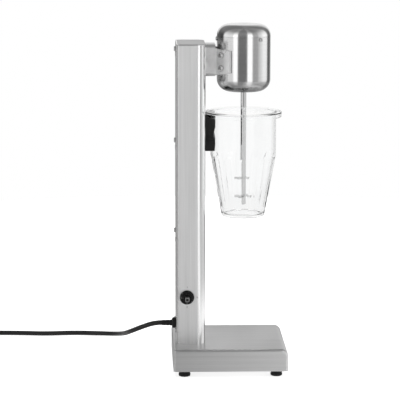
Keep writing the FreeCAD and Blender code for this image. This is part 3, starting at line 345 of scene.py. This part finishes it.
def brushed_steel(name, along, level, rough, polished=None):
    """Sheet steel brushed along one axis: fine lines, broad faint streaks, and hand marks.

    Polished gives the two stretches of X, rear and front, where the brushing fades into polished corners."""
    finish = Finish(name, grey(level), metallic=1.0, roughness=rough)
    finish.stretch_gloss("XYZ"[along], BRUSHED_STRETCH)

    def lined(across, length):
        return tuple(length if axis == along else across for axis in range(3))

    lines = finish.noise(lined(2600, 18), detail=3, rough=0.6)
    streaks = finish.noise(lined(240, 5), detail=2)
    smears = finish.noise((14, 14, 14), detail=4, rough=0.6)
    sums = finish.sums
    tone = sums.math("ADD", finish.spread(lines, 0, 0.5), finish.spread(streaks, 0, 0.5))
    finish.colour(finish.between(tone, grey(level * 0.90), grey(min(level * 1.06, 1))))
    smeared = finish.spread(smears, rough - 0.03, rough + 0.05)
    matte = sums.math("ADD", finish.spread(lines, -0.03, 0.05), smeared)
    finish.roughness(matte)
    finish.bump(lines, 0.00002, 0.35)
    if polished:
        rear, front = polished
        across, _, _ = sums.parts(finish.place)
        corner = sums.math("MAXIMUM", finish.spread(across, 1, 0, *rear), finish.spread(across, 0, 1, *front))
        finish.roughness(sums.mix(corner, matte, POLISHED_ROUGH))
        stretch = sums.mix(corner, BRUSHED_STRETCH, POLISHED_STRETCH)
        finish.link(stretch, finish.shader.inputs["Anisotropic"])
    return finish.material


def spun_steel(name, level, rough, painted_shade_below, bright):
    """Turned and polished steel: fine rings round the upright axis, with faint wipe marks.

    Below the lower given height its colour is darkened by a painted shade along the housing's bottom edge,
    which fades out by the upper height."""
    finish = Finish(name, grey(level), metallic=1.0, roughness=rough)
    rings = finish.noise((10, 10, 2600), detail=3, rough=0.6)
    wipes = finish.noise((22, 22, 30), detail=4, rough=0.65)
    tone = finish.between(finish.spread(rings, 0, 1), grey(level * 0.94), grey(level * 1.04))
    _, _, height = finish.sums.parts(finish.place)
    # Painted shade: the colour darkens to a share of itself towards the housing's bottom edge.
    painted_shade = finish.spread(height, PAINTED_SHADE_SHARE, 1, painted_shade_below, bright)
    shade = finish.nodes.new("ShaderNodeMix")
    shade.data_type = "RGBA"
    shade.blend_type = "MULTIPLY"
    shade.inputs["Factor"].default_value = 1
    finish.link(tone, shade.inputs["A"])
    finish.link(painted_shade, shade.inputs["B"])
    finish.colour(shade.outputs["Result"])
    wiped = finish.spread(wipes, rough - 0.02, rough + 0.04)
    finish.roughness(finish.sums.math("ADD", finish.spread(rings, 0, 0.03), wiped))
    finish.bump(rings, 0.00001, 0.25)
    finish.stretch_gloss("Z", 0.5, 0.25)
    return finish.material


def bright_metal(name, colour, rough, tarnish=0.88, edge=0.0):
    """Plated or cast metal with a light mottle, duller patches and, where given, rounded edges."""
    finish = Finish(name, colour, metallic=1.0, roughness=rough)
    mottle = finish.noise((160, 160, 160), detail=4, rough=0.6)
    patches = finish.noise((45, 45, 45), detail=3)
    finish.colour(finish.between(finish.spread(mottle, 0, 1), shaded(colour, tarnish), colour))
    finish.roughness(finish.spread(patches, rough * 0.8, rough * 1.4))
    finish.bump(mottle, 0.00004, 0.3, edge)
    return finish.material


def moulded(name, colour, rough, pitch=900, depth=0.00005, shine=0.25):
    """Moulded plastic or rubber: a fine eroded texture, with dust in broad faint patches."""
    finish = Finish(name, colour, roughness=rough)
    finish.shader.inputs["Specular IOR Level"].default_value = shine
    texture = finish.noise((pitch, pitch, pitch), detail=3, rough=0.6)
    dust = finish.noise((60, 60, 60), detail=4, rough=0.6)
    pale = tuple(channel * 1.35 + 0.002 for channel in colour)
    finish.colour(finish.between(finish.spread(dust, 0, 1), colour, pale))
    dusty = finish.spread(dust, rough - 0.05, rough + 0.07)
    finish.roughness(finish.sums.math("ADD", finish.spread(texture, -0.04, 0.04), dusty))
    finish.bump(texture, depth, 0.4)
    return finish.material


def edge_highlight_and_wear_plastic(name, colour, highlight_and_wear, edges=(0.51, 0.56)):
    """Black plastic paler on its sharpest edges and rib crests, partly scuffed by fingers and partly a painted
    highlight, starting and ending at two levels of pointiness.
    """
    finish = Finish(name, colour, roughness=0.3)
    finish.shader.inputs["Specular IOR Level"].default_value = 0.25
    edge = finish.nodes.new("ShaderNodeNewGeometry").outputs["Pointiness"]
    breakup_noise = finish.noise((700, 700, 700), detail=3)
    # Painted highlight, partly edge scuffing: a paler colour on the sharpest edges and rib crests.
    highlight_and_wear_mask = finish.sums.math("MULTIPLY", finish.spread(edge, 0, 1, *edges), finish.spread(breakup_noise, 0.6, 1))
    finish.colour(finish.between(highlight_and_wear_mask, colour, highlight_and_wear))
    finish.roughness(finish.spread(breakup_noise, 0.25, 0.45))
    finish.bump(breakup_noise, 0.00003, 0.3)
    return finish.material


def clear_plastic():
    """Clear polycarbonate with faint moulding waves and washing haze."""
    finish = Finish("clear_plastic", (0.99, 0.992, 0.992), roughness=0.02)
    finish.shader.inputs["Transmission Weight"].default_value = 1.0
    finish.shader.inputs["IOR"].default_value = 1.25
    haze = finish.noise((90, 90, 30), detail=4, rough=0.6)
    waves = finish.noise((40, 40, 12), detail=2)
    finish.colour(finish.between(finish.spread(haze, 0, 1), (0.982, 0.986, 0.986), (0.996, 0.998, 0.998)))
    finish.roughness(finish.spread(haze, 0.0, 0.035))
    finish.bump(waves, 0.00008, 0.25)
    return finish.material


def laminated(name, colour, rough):
    """Stacked sheet steel: thin level lines between the sheets."""
    finish = Finish(name, colour, metallic=0.8, roughness=rough)
    sheets = finish.noise((3, 3, 2000), detail=1)
    stain = finish.noise((80, 80, 80), detail=3)
    finish.colour(finish.between(finish.spread(sheets, 0, 1), shaded(colour, 0.6), colour))
    finish.roughness(finish.spread(stain, rough - 0.08, rough + 0.1))
    finish.bump(sheets, 0.0001, 0.5)
    return finish.material


def wound_wire(name, colour, rough):
    """Enamelled copper wire laid in level turns."""
    finish = Finish(name, colour, metallic=0.9, roughness=rough)
    turns = finish.noise((60, 60, 1800), detail=1)
    sheen = finish.noise((120, 120, 120), detail=3)
    finish.colour(finish.between(finish.spread(turns, 0, 1), shaded(colour, 0.5), colour))
    finish.roughness(finish.spread(sheen, rough - 0.08, rough + 0.12))
    finish.bump(turns, 0.0002, 0.6)
    return finish.material


def make_materials():
    """Every finish, by a short key. The name in each call is the material's name."""
    black = grey(0.006)
    return {
        "upright_steel": brushed_steel("upright_steel", 2, 0.90, 0.50, COLUMN_CORNERS),
        "level_steel": brushed_steel("level_steel", 0, 0.76, 0.32),
        "motor_steel": spun_steel("motor_steel", 0.74, 0.14, MOTOR_PAINTED_SHADE_FULL, MOTOR_PAINTED_SHADE_GONE),
        "alloy": bright_metal("bracket_alloy", grey(0.94), 0.34, edge=1.2 * MM),
        "screw": bright_metal("screw_steel", grey(0.66), 0.16),
        "chrome": bright_metal("spindle_chrome", grey(0.66), 0.07, 0.95),
        "clear": clear_plastic(),
        "plastic": moulded("black_plastic", black, 0.42),
        "boot": edge_highlight_and_wear_plastic("boot_rubber", grey(0.004), grey(0.26), (0.53, 0.60)),
        "lever": edge_highlight_and_wear_plastic("lever_plastic", grey(0.012), grey(0.20)),
        "rubber": moulded("black_rubber", black, 0.42, 500, 0.0001),
        "jacket": moulded("cord_jacket", grey(0.008), 0.35, 1500, 0.00003, shine=0.4),
        "print": moulded("printed_marks", grey(0.10), 0.6),
        "iron": moulded("cast_iron", grey(0.09), 0.7, 350, 0.0004),
        "sheets": laminated("lamination", grey(0.30), 0.45),
        "copper": wound_wire("copper_wire", (0.62, 0.27, 0.12), 0.3),
        "bars": bright_metal("copper_bars", (0.72, 0.38, 0.22), 0.25),
        "brass": bright_metal("brass", (0.75, 0.58, 0.30), 0.22),
        "carbon": moulded("carbon", grey(0.03), 0.6),
        "inner_steel": bright_metal("inner_steel", grey(0.46), 0.35),
        "inner_plastic": moulded("inner_plastic", (0.70, 0.66, 0.55), 0.45),
    }


HOLDER_ROUNDING = 1.1 * MM
CAD_FINISHES = {
    "upright_steel": ["column_shell", "rear_cover"],
    "level_steel": ["base_cover", "column_cap"],
    "motor_steel": ["motor_housing", "motor_cap"],
    "alloy": ["head_bracket", "bearing_bridge"],
    "screw": [
        "foot_screws", "foot_nuts", "column_bolts", "column_nuts", "rear_cover_screws", "bracket_bolts",
        "clamp_screws", "cap_screws", "motor_tie_bolts", "spacer_sleeves", "cup_holder_screws", "switch_nut",
    ],
    "chrome": ["motor_shaft", "agitator_rod", "beater_nut", "lower_bearing", "upper_bearing"],
    "plastic": ["cup_holder", "switch_body"],
    "rubber": ["shaft_seal", "lead_grommet"],
    "jacket": ["motor_leads"],
    "iron": ["ballast_block"],
    "sheets": ["stator_core", "armature_core"],
    "copper": ["field_coils", "armature_winding"],
    "bars": ["commutator"],
    "brass": ["plug_pins"],
    "carbon": ["carbon_brushes"],
    "inner_steel": ["base_plate", "column_foot"],
    "inner_plastic": ["terminal_block", "brush_holders", "cooling_fan", "suppressor_capacitor"],
}


def dress_cad_nodes(materials):
    """Gives each CAD node that stays its finish, and rounds the moulded holder's edges."""
    for key, names in CAD_FINISHES.items():
        for name in names:
            for place in NODES[name].material_slots:
                place.link = "OBJECT"
                place.material = materials[key]
    holder = NODES["cup_holder"]
    weld = holder.modifiers.new("weld", "WELD")
    weld.merge_threshold = 0.001 * MM
    rounding = holder.modifiers.new("rounding", "BEVEL")
    rounding.width = HOLDER_ROUNDING
    rounding.segments = 3
    rounding.limit_method = "ANGLE"
    rounding.angle_limit = math.radians(25)
    rounding.use_clamp_overlap = False


# ---------------------------------------------------------------- mesh helpers
def object_of(name, build, material, sharp=math.radians(40)):
    """A smooth-shaded mesh object, with its sharp edges kept, from a bmesh."""
    bmesh.ops.recalc_face_normals(build, faces=build.faces)
    mesh = bpy.data.meshes.new(name)
    build.to_mesh(mesh)
    build.free()
    mesh.shade_smooth()
    mesh.set_sharp_from_angle(angle=sharp)
    mesh.materials.append(material)
    made = bpy.data.objects.new(name, mesh)
    bpy.context.scene.collection.objects.link(made)
    return made


def put(made, body, slot, *replaced):
    """Attaches a finished piece to the body it rides on, and hides the CAD nodes it stands for. The slot is not
    used.
    """
    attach(made, body)
    if replaced:
        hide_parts(*replaced)
    return made


def softened(points, radius, steps=4, closed=True):
    """An outline with each corner replaced by a short curve."""
    count = len(points)
    result = []
    for index, point in enumerate(points):
        if not closed and index in (0, count - 1):
            result.append(point)
            continue
        corner = Vector(point)
        before = Vector(points[index - 1]) - corner
        after = Vector(points[(index + 1) % count]) - corner
        start = corner + before.normalized() * min(radius, before.length * 0.45)
        end = corner + after.normalized() * min(radius, after.length * 0.45)
        for step in range(steps + 1):
            t = step / steps
            result.append(tuple(start * (1 - t) ** 2 + corner * 2 * t * (1 - t) + end * t**2))
    return result


def divided(points, longest):
    """An open outline with its long runs cut into shorter ones."""
    result = [points[0]]
    for point, following in zip(points, points[1:]):
        run = Vector(following) - Vector(point)
        count = max(1, math.ceil(run.length / longest))
        result += [tuple(Vector(point) + run * (i + 1) / count) for i in range(count)]
    return result


def turned(profile, segments, closed, shape=None):
    """A bmesh turned about Z from (radius, height) points. A point on the axis makes one vertex."""
    build = bmesh.new()
    rings = []
    for radius, height in profile:
        if radius < 1e-7:
            rings.append([build.verts.new((0, 0, height))])
            continue
        ring = []
        for index in range(segments):
            angle = 2 * math.pi * index / segments
            wide, high = shape(radius, height, angle) if shape else (radius, height)
            ring.append(build.verts.new((wide * math.cos(angle), wide * math.sin(angle), high)))
        rings.append(ring)
    pairs = list(zip(rings, rings[1:]))
    if closed:
        pairs.append((rings[-1], rings[0]))
    for first, second in pairs:
        join_rings(build, first, second)
    return build


def join_rings(build, first, second):
    """Faces between two rings of vertices, either of which may be a single vertex."""
    count = max(len(first), len(second))
    for index in range(count):
        following = (index + 1) % count
        corners = [first[index % len(first)], first[following % len(first)]]
        corners += [second[following % len(second)], second[index % len(second)]]
        face = list(dict.fromkeys(corners))
        if len(face) > 2:
            build.faces.new(face)


def lofted(sections, count=48):
    """A closed bmesh through rounded-square sections: (distance along Z, half width, half height, power)."""
    build = bmesh.new()
    rings = []
    for along, wide, high, power in sections:
        ring = []
        for index in range(count):
            angle = 2 * math.pi * index / count
            c = math.cos(angle)
            s = math.sin(angle)
            x = wide * math.copysign(abs(c) ** (2 / power), c)
            y = high * math.copysign(abs(s) ** (2 / power), s)
            ring.append(build.verts.new((x, y, along)))
        rings.append(ring)
    for first, second in zip(rings, rings[1:]):
        join_rings(build, first, second)
    build.faces.new(rings[0])
    build.faces.new(rings[-1])
    return build


def smooth(value):
    value = min(max(value, 0.0), 1.0)
    return value * value * (3 - 2 * value)


def centre_of(node):
    low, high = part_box(node)
    return (low + high) / 2


TO_MINUS_Y = Matrix.Rotation(math.pi / 2, 4, "X")
TO_MINUS_X = Matrix.Rotation(-math.pi / 2, 4, "Y")


# ---------------------------------------------------------------- cup
CUP_WALL = 2.4 * MM
CUP_SEGMENTS = 360
RIM_REACH = 8 * MM
RIM_DROP = 7.5 * MM
# The flutes. Phase and share are parts of the width that one flute has for itself round the cup: how far they
# are turned, and half of what the groove takes up.
FLUTES = 12
FLUTE_PHASE = 0.45
FLUTE_SHARE = 0.34
FLUTE_DEPTH = 0.8 * MM
FLUTE_TOP = 92 * MM
FLUTE_ARCH = 11 * MM
FLUTE_TOP_FADE = 4 * MM
FLUTE_FOOT = 11 * MM
FLUTE_FOOT_FADE = 10 * MM
FLUTE_SIDE_FADE = 0.25


def flute_depth(height, angle):
    """How far the cup's outside is scooped in at a height above its foot: arched grooves on the taper."""
    across = (angle * FLUTES / (2 * math.pi) + FLUTE_PHASE) % 1 - 0.5
    offset = across / FLUTE_SHARE
    if abs(offset) >= 1:
        return 0.0
    bow = math.sqrt(1 - offset**2)
    top = FLUTE_TOP - FLUTE_ARCH * (1 - bow)
    upper = smooth((top - height) / FLUTE_TOP_FADE)
    lower = smooth((height - FLUTE_FOOT) / FLUTE_FOOT_FADE)
    sides = smooth((1 - abs(offset)) / FLUTE_SIDE_FADE)
    return FLUTE_DEPTH * sides * upper * lower


def make_cup(materials):
    """The hanging cup: a fluted taper, a straight mouth and a rim folded out and down."""
    low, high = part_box("cup")
    tall = high.z - low.z
    lip = (high.x - low.x) / 2
    mouth = lip - RIM_REACH
    foot = 31.2 * MM
    shoulder = 84 * MM
    skirt = tall - RIM_DROP
    fold = 2 * MM
    outside = [
        (0, 1 * MM), (foot - 3 * MM, 1 * MM), (foot - 3.6 * MM, 0), (foot - 0.9 * MM, 0),
        (foot, 2.5 * MM), (mouth - 0.9 * MM, shoulder), (mouth, shoulder + 3 * MM), (mouth, tall - fold),
        (lip - fold, tall - fold), (lip - fold, skirt), (lip, skirt), (lip, tall),
    ]
    inside = [
        (mouth - CUP_WALL, tall), (mouth - CUP_WALL, shoulder + 3 * MM),
        (mouth - CUP_WALL - 0.9 * MM, shoulder), (foot - CUP_WALL, 6 * MM),
        (foot - CUP_WALL - 5 * MM, 3.4 * MM), (0, 3.4 * MM),
    ]
    outline = softened(outside + inside, 1.6 * MM, closed=False)
    turning = outline.index(max(outline, key=lambda point: point[0] + point[1]))
    outer = divided(outline[: turning + 1], 1.4 * MM)
    rings = outer + divided(outline[turning:], 6 * MM)[1:]
    outer = set(outer)

    def shape(radius, height, angle):
        if (radius, height) in outer and radius < mouth + 0.1 * MM:
            radius -= flute_depth(height, angle)
        return radius, height

    build = turned(rings, CUP_SEGMENTS, False, shape)
    cup = object_of("milkshake_cup", build, materials["clear"], math.radians(60))
    cup.location = (centre_of("cup").x, 0, low.z)
    put(cup, "hanging_cup", "clear_plastic", "cup")


# ---------------------------------------------------------------- beaters
SWING_SHARE = 0.95


def make_beater(materials, node, bore, waves):
    """A pressed disc whose rim rises and falls in waves, on a hub that is twice as thick."""
    low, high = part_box(node)
    wide = (high.x - low.x) / 2
    thick = 0.9 * MM
    swing = (high.z - low.z - thick) / 2 * SWING_SHARE
    hub = bore + 1.6 * MM
    edge = hub + 0.5 * MM
    under = [(bore, -thick), (hub, -thick), (edge, -thick / 2), (wide, -thick / 2)]
    over = [(radius, -height) for radius, height in reversed(under)]
    rings = softened(under + over, 0.35 * MM, 2)

    def shape(radius, height, angle):
        reach = smooth((radius - hub) / (wide - hub))
        return radius, height + swing * reach * math.cos(waves * angle)

    disc = object_of(f"{node}_pressed", turned(rings, 96, True, shape), materials["chrome"])
    disc.location = (centre_of(node).x, 0, (low.z + high.z) / 2)
    put(disc, "spindle", "spindle_chrome", node)


# ---------------------------------------------------------------- switch
MARK_SIZE = 3.6 * MM
MARK_RAISED = 0.03 * MM
MARK_GAP = 0.02 * MM
# Each printed number, and how far it is from the switch towards the cup side and up.
MARKS = (("1", 0.5 * MM, 14.5 * MM), ("0", 14.6 * MM, 0.0), ("2", 0.0, -14.1 * MM))


def make_boot(materials):
    """A ribbed rubber boot round the lever's root. Its profile runs out from the column."""
    low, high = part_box("switch_boot")
    centre = centre_of("switch_boot")
    wide = (high.x - low.x) / 2
    reach = high.y - low.y
    profile = [
        (7.3 * MM, 0), (wide, 0), (wide, 1.5 * MM), (wide - 0.9 * MM, 2.1 * MM),
        (wide - 1.5 * MM, 1.7 * MM), (wide - 1.9 * MM, 3.9 * MM), (wide - 2.5 * MM, 4.5 * MM),
        (wide - 3.6 * MM, 3.3 * MM), (wide - 4.1 * MM, 6.0 * MM), (wide - 4.7 * MM, 6.6 * MM),
        (wide - 5.9 * MM, 5.6 * MM), (wide - 6.4 * MM, reach), (3.3 * MM, reach), (3.2 * MM, 5.4 * MM),
        (5.2 * MM, 3.6 * MM), (7.3 * MM, 1.4 * MM),
    ]
    rings = softened(profile, 0.3 * MM, 3)
    boot = object_of("switch_boot_ribbed", turned(rings, 72, True), materials["boot"])
    boot.matrix_world = Matrix.Translation((centre.x, high.y, centre.z)) @ TO_MINUS_Y
    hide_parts("switch_boot")
    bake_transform(boot)


def make_lever(materials):
    """The toggle's lever: a thin stem that swells to a squared tip with a dimple in its end."""
    low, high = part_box("switch_lever")
    centre = centre_of("switch_boot")
    tip = high.y - low.y
    half = 3.1 * MM
    stations = [
        (1.2 * MM, 1.6 * MM, 2), (tip - 15 * MM, 1.9 * MM, 2), (tip - 13 * MM, 2.6 * MM, 3),
        (tip - 6 * MM, half - 0.3 * MM, 4), (tip - 4.5 * MM, half, 4.5), (tip - 0.9 * MM, half, 4.5),
        (tip - 0.3 * MM, half - 0.25 * MM, 4.5), (tip, half - 0.8 * MM, 4.5),
        (tip - 0.1 * MM, half - 1.3 * MM, 4), (tip - 0.7 * MM, half - 1.6 * MM, 3),
        (tip - 0.9 * MM, 0.3 * MM, 2),
    ]
    sections = [(along, size, size, power) for along, size, power in stations]
    lever = object_of("switch_lever_tip", lofted(sections), materials["lever"])
    lever.matrix_world = Matrix.Translation((centre.x, high.y, centre.z)) @ TO_MINUS_Y
    put(lever, "toggle", "black_plastic", "switch_lever")


def make_marks(materials):
    """The three printed position numbers round the switch."""
    low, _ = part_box("column_shell")
    boot = centre_of("switch_boot")
    for digit, across, up in MARKS:
        letter = bpy.data.curves.new(f"mark_curve_{digit}", "FONT")
        letter.body = digit
        letter.size = MARK_SIZE
        letter.align_x = "CENTER"
        letter.align_y = "CENTER"
        letter.extrude = MARK_RAISED
        source = bpy.data.objects.new(f"mark_source_{digit}", letter)
        bpy.context.scene.collection.objects.link(source)
        bpy.context.view_layer.update()
        mesh = bpy.data.meshes.new_from_object(source)
        bpy.data.objects.remove(source)
        mesh.materials.clear()
        mesh.materials.append(materials["print"])
        mark = bpy.data.objects.new(f"switch_mark_{digit}", mesh)
        bpy.context.scene.collection.objects.link(mark)
        spot = Vector((boot.x + across, low.y - MARK_GAP, boot.z + up))
        mark.matrix_world = Matrix.Translation(spot) @ TO_MINUS_Y
        put(mark, "stand", "black_plastic")


# ---------------------------------------------------------------- feet
def make_feet(materials):
    """Four rubber feet with a waist, a rounded sole and a recess for the screw."""
    low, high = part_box("rubber_feet")
    wide = 9.25 * MM
    tall = high.z - low.z
    profile = [
        (4.6 * MM, 0), (wide - 2.2 * MM, 0), (wide - 0.9 * MM, 0.8 * MM), (wide - 0.6 * MM, 3.4 * MM),
        (wide - 1.3 * MM, 4.4 * MM), (wide - 1.3 * MM, 5.4 * MM), (wide, 6.2 * MM), (wide, tall),
        (2.1 * MM, tall), (2.1 * MM, 5 * MM), (4.6 * MM, 5 * MM),
    ]
    rings = softened(profile, 0.7 * MM, 4)
    for x, side in ((low.x + wide, "rear"), (high.x - wide, "front")):
        for y, hand in ((low.y + wide, "near"), (high.y - wide, "far")):
            foot = object_of(f"rubber_foot_{side}_{hand}", turned(rings, 64, True), materials["rubber"])
            foot.location = (x, y, low.z)
            put(foot, "stand", "black_rubber", "rubber_feet")


# ---------------------------------------------------------------- mains cord
CORD_THICK = 0.007
CORD_ROUTE = [
    (-0.105, 0, 0.065),
    (-0.126, 0.005, 0.057),
    (-0.143, 0.025, 0.0455),
    (-0.149, 0.058, 0.0355),
    (-0.152, 0.098, 0.025),
    (-0.158, 0.137, 0.015),
    (-0.172, 0.168, 0.0075),
    (-0.198, 0.188, 0.0038),
    (-0.234, 0.192, 0.0038),
    (-0.274, 0.187, 0.0038),
    (-0.312, 0.192, 0.0038),
    (-0.352, 0.1945, 0.0038),
    (-0.391, 0.1915, 0.0038),
]
# The coil: points in a turn, turns, the widest radius, how far each turn closes it in, the turn that is
# innermost, the height of its lower layer, the climb to the upper one, and the turns where the climb starts and
# that it takes.
COIL_POINTS = 16
COIL_TURNS = 4.25
COIL_WIDEST = 0.0456
COIL_STEP = 0.0071
COIL_INNERMOST = 2.05
COIL_LOW = 0.0038
COIL_RISE = 0.0073
CLIMB_START = 1.88
CLIMB_TURNS = 0.34


def coil_points():
    """Four turns and a quarter: a spiral in on the floor, then one out on top of it."""
    centre = centre_of("power_cord_coil")
    narrowest = COIL_WIDEST - COIL_STEP * COIL_INNERMOST
    # The smooth curve runs inside its control points, at this share of their distance.
    inside_corner = (3 + math.cos(2 * math.pi / COIL_POINTS)) / 4
    points = []
    for index in range(round(COIL_TURNS * COIL_POINTS) + 1):
        turn = index / COIL_POINTS
        radius = narrowest + COIL_STEP * abs(turn - COIL_INNERMOST)
        height = COIL_LOW + COIL_RISE * smooth((turn - CLIMB_START) / CLIMB_TURNS)
        angle = math.pi / 2 + 2 * math.pi * turn
        reach = radius / inside_corner
        points.append((centre.x + reach * math.cos(angle), centre.y + reach * math.sin(angle), height))
    return points


def make_cord(materials):
    """The whole cord as one smooth line: out of the gland, down to the floor, into the coil, to the plug."""
    gland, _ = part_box("cord_gland")
    exit_point = (gland.x, 0, centre_of("cord_gland").z)
    low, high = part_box("plug_body")
    tail = (low.x + high.x) / 2
    end = (tail, high.y, (low.z + high.z) / 2)
    lead = [(tail - 0.001, high.y + 0.024, end[2] - 0.0016), (tail, high.y + 0.012, end[2] - 0.0014), end]
    inside_plug = (tail, high.y - 0.010, end[2])
    points = [exit_point] + CORD_ROUTE + coil_points() + lead + [inside_plug]
    curve = bpy.data.curves.new("mains_cord", "CURVE")
    curve.dimensions = "3D"
    curve.resolution_u = 8
    curve.bevel_depth = CORD_THICK / 2
    curve.bevel_resolution = 5
    curve.use_fill_caps = True
    spline = curve.splines.new("NURBS")
    spline.points.add(len(points) - 1)
    for control, point in zip(spline.points, points):
        control.co = (*point, 1)
    spline.order_u = 3
    spline.use_endpoint_u = True
    curve.materials.append(materials["jacket"])
    cord = bpy.data.objects.new("mains_cord", curve)
    bpy.context.scene.collection.objects.link(cord)
    put(cord, "stand", "cord_jacket", "power_cord", "power_cord_coil", "power_cord_tail")
    pieces = [make_plug(materials, end), NODES["plug_pins"], make_tie(materials)]


def make_plug(materials, end):
    """A moulded plug: a ringed sleeve on the cord, then a waisted body with a flat face."""
    sleeve = []
    for ring in range(5):
        start = (0.3 + ring * 2.5) * MM
        swell = (4.3 + ring * 0.22) * MM
        sleeve += [(start, swell, swell, 2), (start + 1.5 * MM, swell, swell, 2)]
        sleeve += [(start + 1.7 * MM, swell - 0.6 * MM, swell - 0.6 * MM, 2)]
        sleeve += [(start + 2.3 * MM, swell - 0.6 * MM, swell - 0.6 * MM, 2)]
    body = [
        (13 * MM, 6.0 * MM, 5.8 * MM, 2.3), (15 * MM, 8.6 * MM, 8.0 * MM, 2.6),
        (18 * MM, 10.6 * MM, 9.8 * MM, 3), (22 * MM, 11.2 * MM, 10.4 * MM, 3.2),
        (26 * MM, 10.8 * MM, 10.2 * MM, 3.4), (30 * MM, 11.6 * MM, 10.9 * MM, 3.8),
        (33 * MM, 12.8 * MM, 11.6 * MM, 4.2), (36.6 * MM, 12.9 * MM, 11.7 * MM, 4.4),
        (37.7 * MM, 12.6 * MM, 11.4 * MM, 4.4), (38 * MM, 11.9 * MM, 10.7 * MM, 4.4),
    ]
    plug = object_of("plug_moulding", lofted(sleeve + body, 64), materials["plastic"], math.radians(50))
    plug.matrix_world = Matrix.Translation(end) @ TO_MINUS_Y
    return put(plug, "stand", "black_plastic", "plug_body")


def make_tie(materials):
    """A strap round the coil's bundle of turns."""
    low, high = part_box("power_cord_coil")
    centre = centre_of("power_cord_coil")
    inner = (high.x - low.x) / 2 - 22.6 * MM
    outer = (high.x - low.x) / 2 + 0.3 * MM
    top = high.z + 0.2 * MM
    bottom = low.z - 0.05 * MM
    thick = 0.9 * MM
    thin = 0.2 * MM
    loop = softened([(inner, bottom), (outer, bottom), (outer, top), (inner, top)], 4.5 * MM, 6)
    shell = softened(
        [(inner - thick, bottom - thin), (outer + thick, bottom - thin), (outer + thick, top + thick),
         (inner - thick, top + thick)], 5.2 * MM, 6)
    width = 9 * MM
    build = bmesh.new()
    rings = []
    for outline, side in ((loop, -0.5), (loop, 0.5), (shell, 0.5), (shell, -0.5)):
        rings.append([build.verts.new((side * width, -radius, height)) for radius, height in outline])
    for first, second in zip(rings, rings[1:] + rings[:1]):
        join_rings(build, first, second)
    tie = object_of("cord_tie", build, materials["plastic"])
    tie.location = (centre.x, centre.y, 0)
    return put(tie, "stand", "black_plastic")


def make_gland(materials):
    """The strain relief: a shank through the rear cover, a flange, and a ringed taper on the cord."""
    low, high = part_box("cord_gland")
    wide = (high.z - low.z) / 2
    flange = 5.7 * MM
    shank = high.x - low.x - flange
    profile = [
        (3.3 * MM, flange + 15 * MM), (3.8 * MM, flange + 15 * MM), (4.0 * MM, flange + 10 * MM),
        (3.8 * MM, flange + 9.4 * MM), (3.8 * MM, flange + 8.8 * MM), (4.1 * MM, flange + 8.2 * MM),
        (4.2 * MM, flange + 5 * MM), (3.9 * MM, flange + 4.4 * MM), (3.9 * MM, flange + 3.8 * MM),
        (4.3 * MM, flange + 3.2 * MM), (4.5 * MM, flange), (wide - 1.1 * MM, flange),
        (wide, flange - 1.4 * MM), (wide, 1.2 * MM), (wide - 0.5 * MM, 0), (6.1 * MM, 0),
        (4.4 * MM, -shank), (3.3 * MM, -shank),
    ]
    rings = softened(profile, 0.5 * MM, 3)
    gland = object_of("cord_gland_ringed", turned(rings, 64, True), materials["rubber"])
    middle = centre_of("cord_gland")
    gland.matrix_world = Matrix.Translation((low.x + flange, middle.y, middle.z)) @ TO_MINUS_X
    put(gland, "stand", "black_rubber", "cord_gland")


# ---------------------------------------------------------------- everything
make_camera()
finishes = make_materials()
make_cord(finishes)
make_studio()
make_floor()
dress_cad_nodes(finishes)
make_cup(finishes)
make_beater(finishes, "upper_beater_disc", bore=3.9 * MM, waves=4)
make_beater(finishes, "lower_beater_disc", bore=2.6 * MM, waves=5)
make_boot(finishes)
make_lever(finishes)
make_marks(finishes)
make_feet(finishes)
make_gland(finishes)
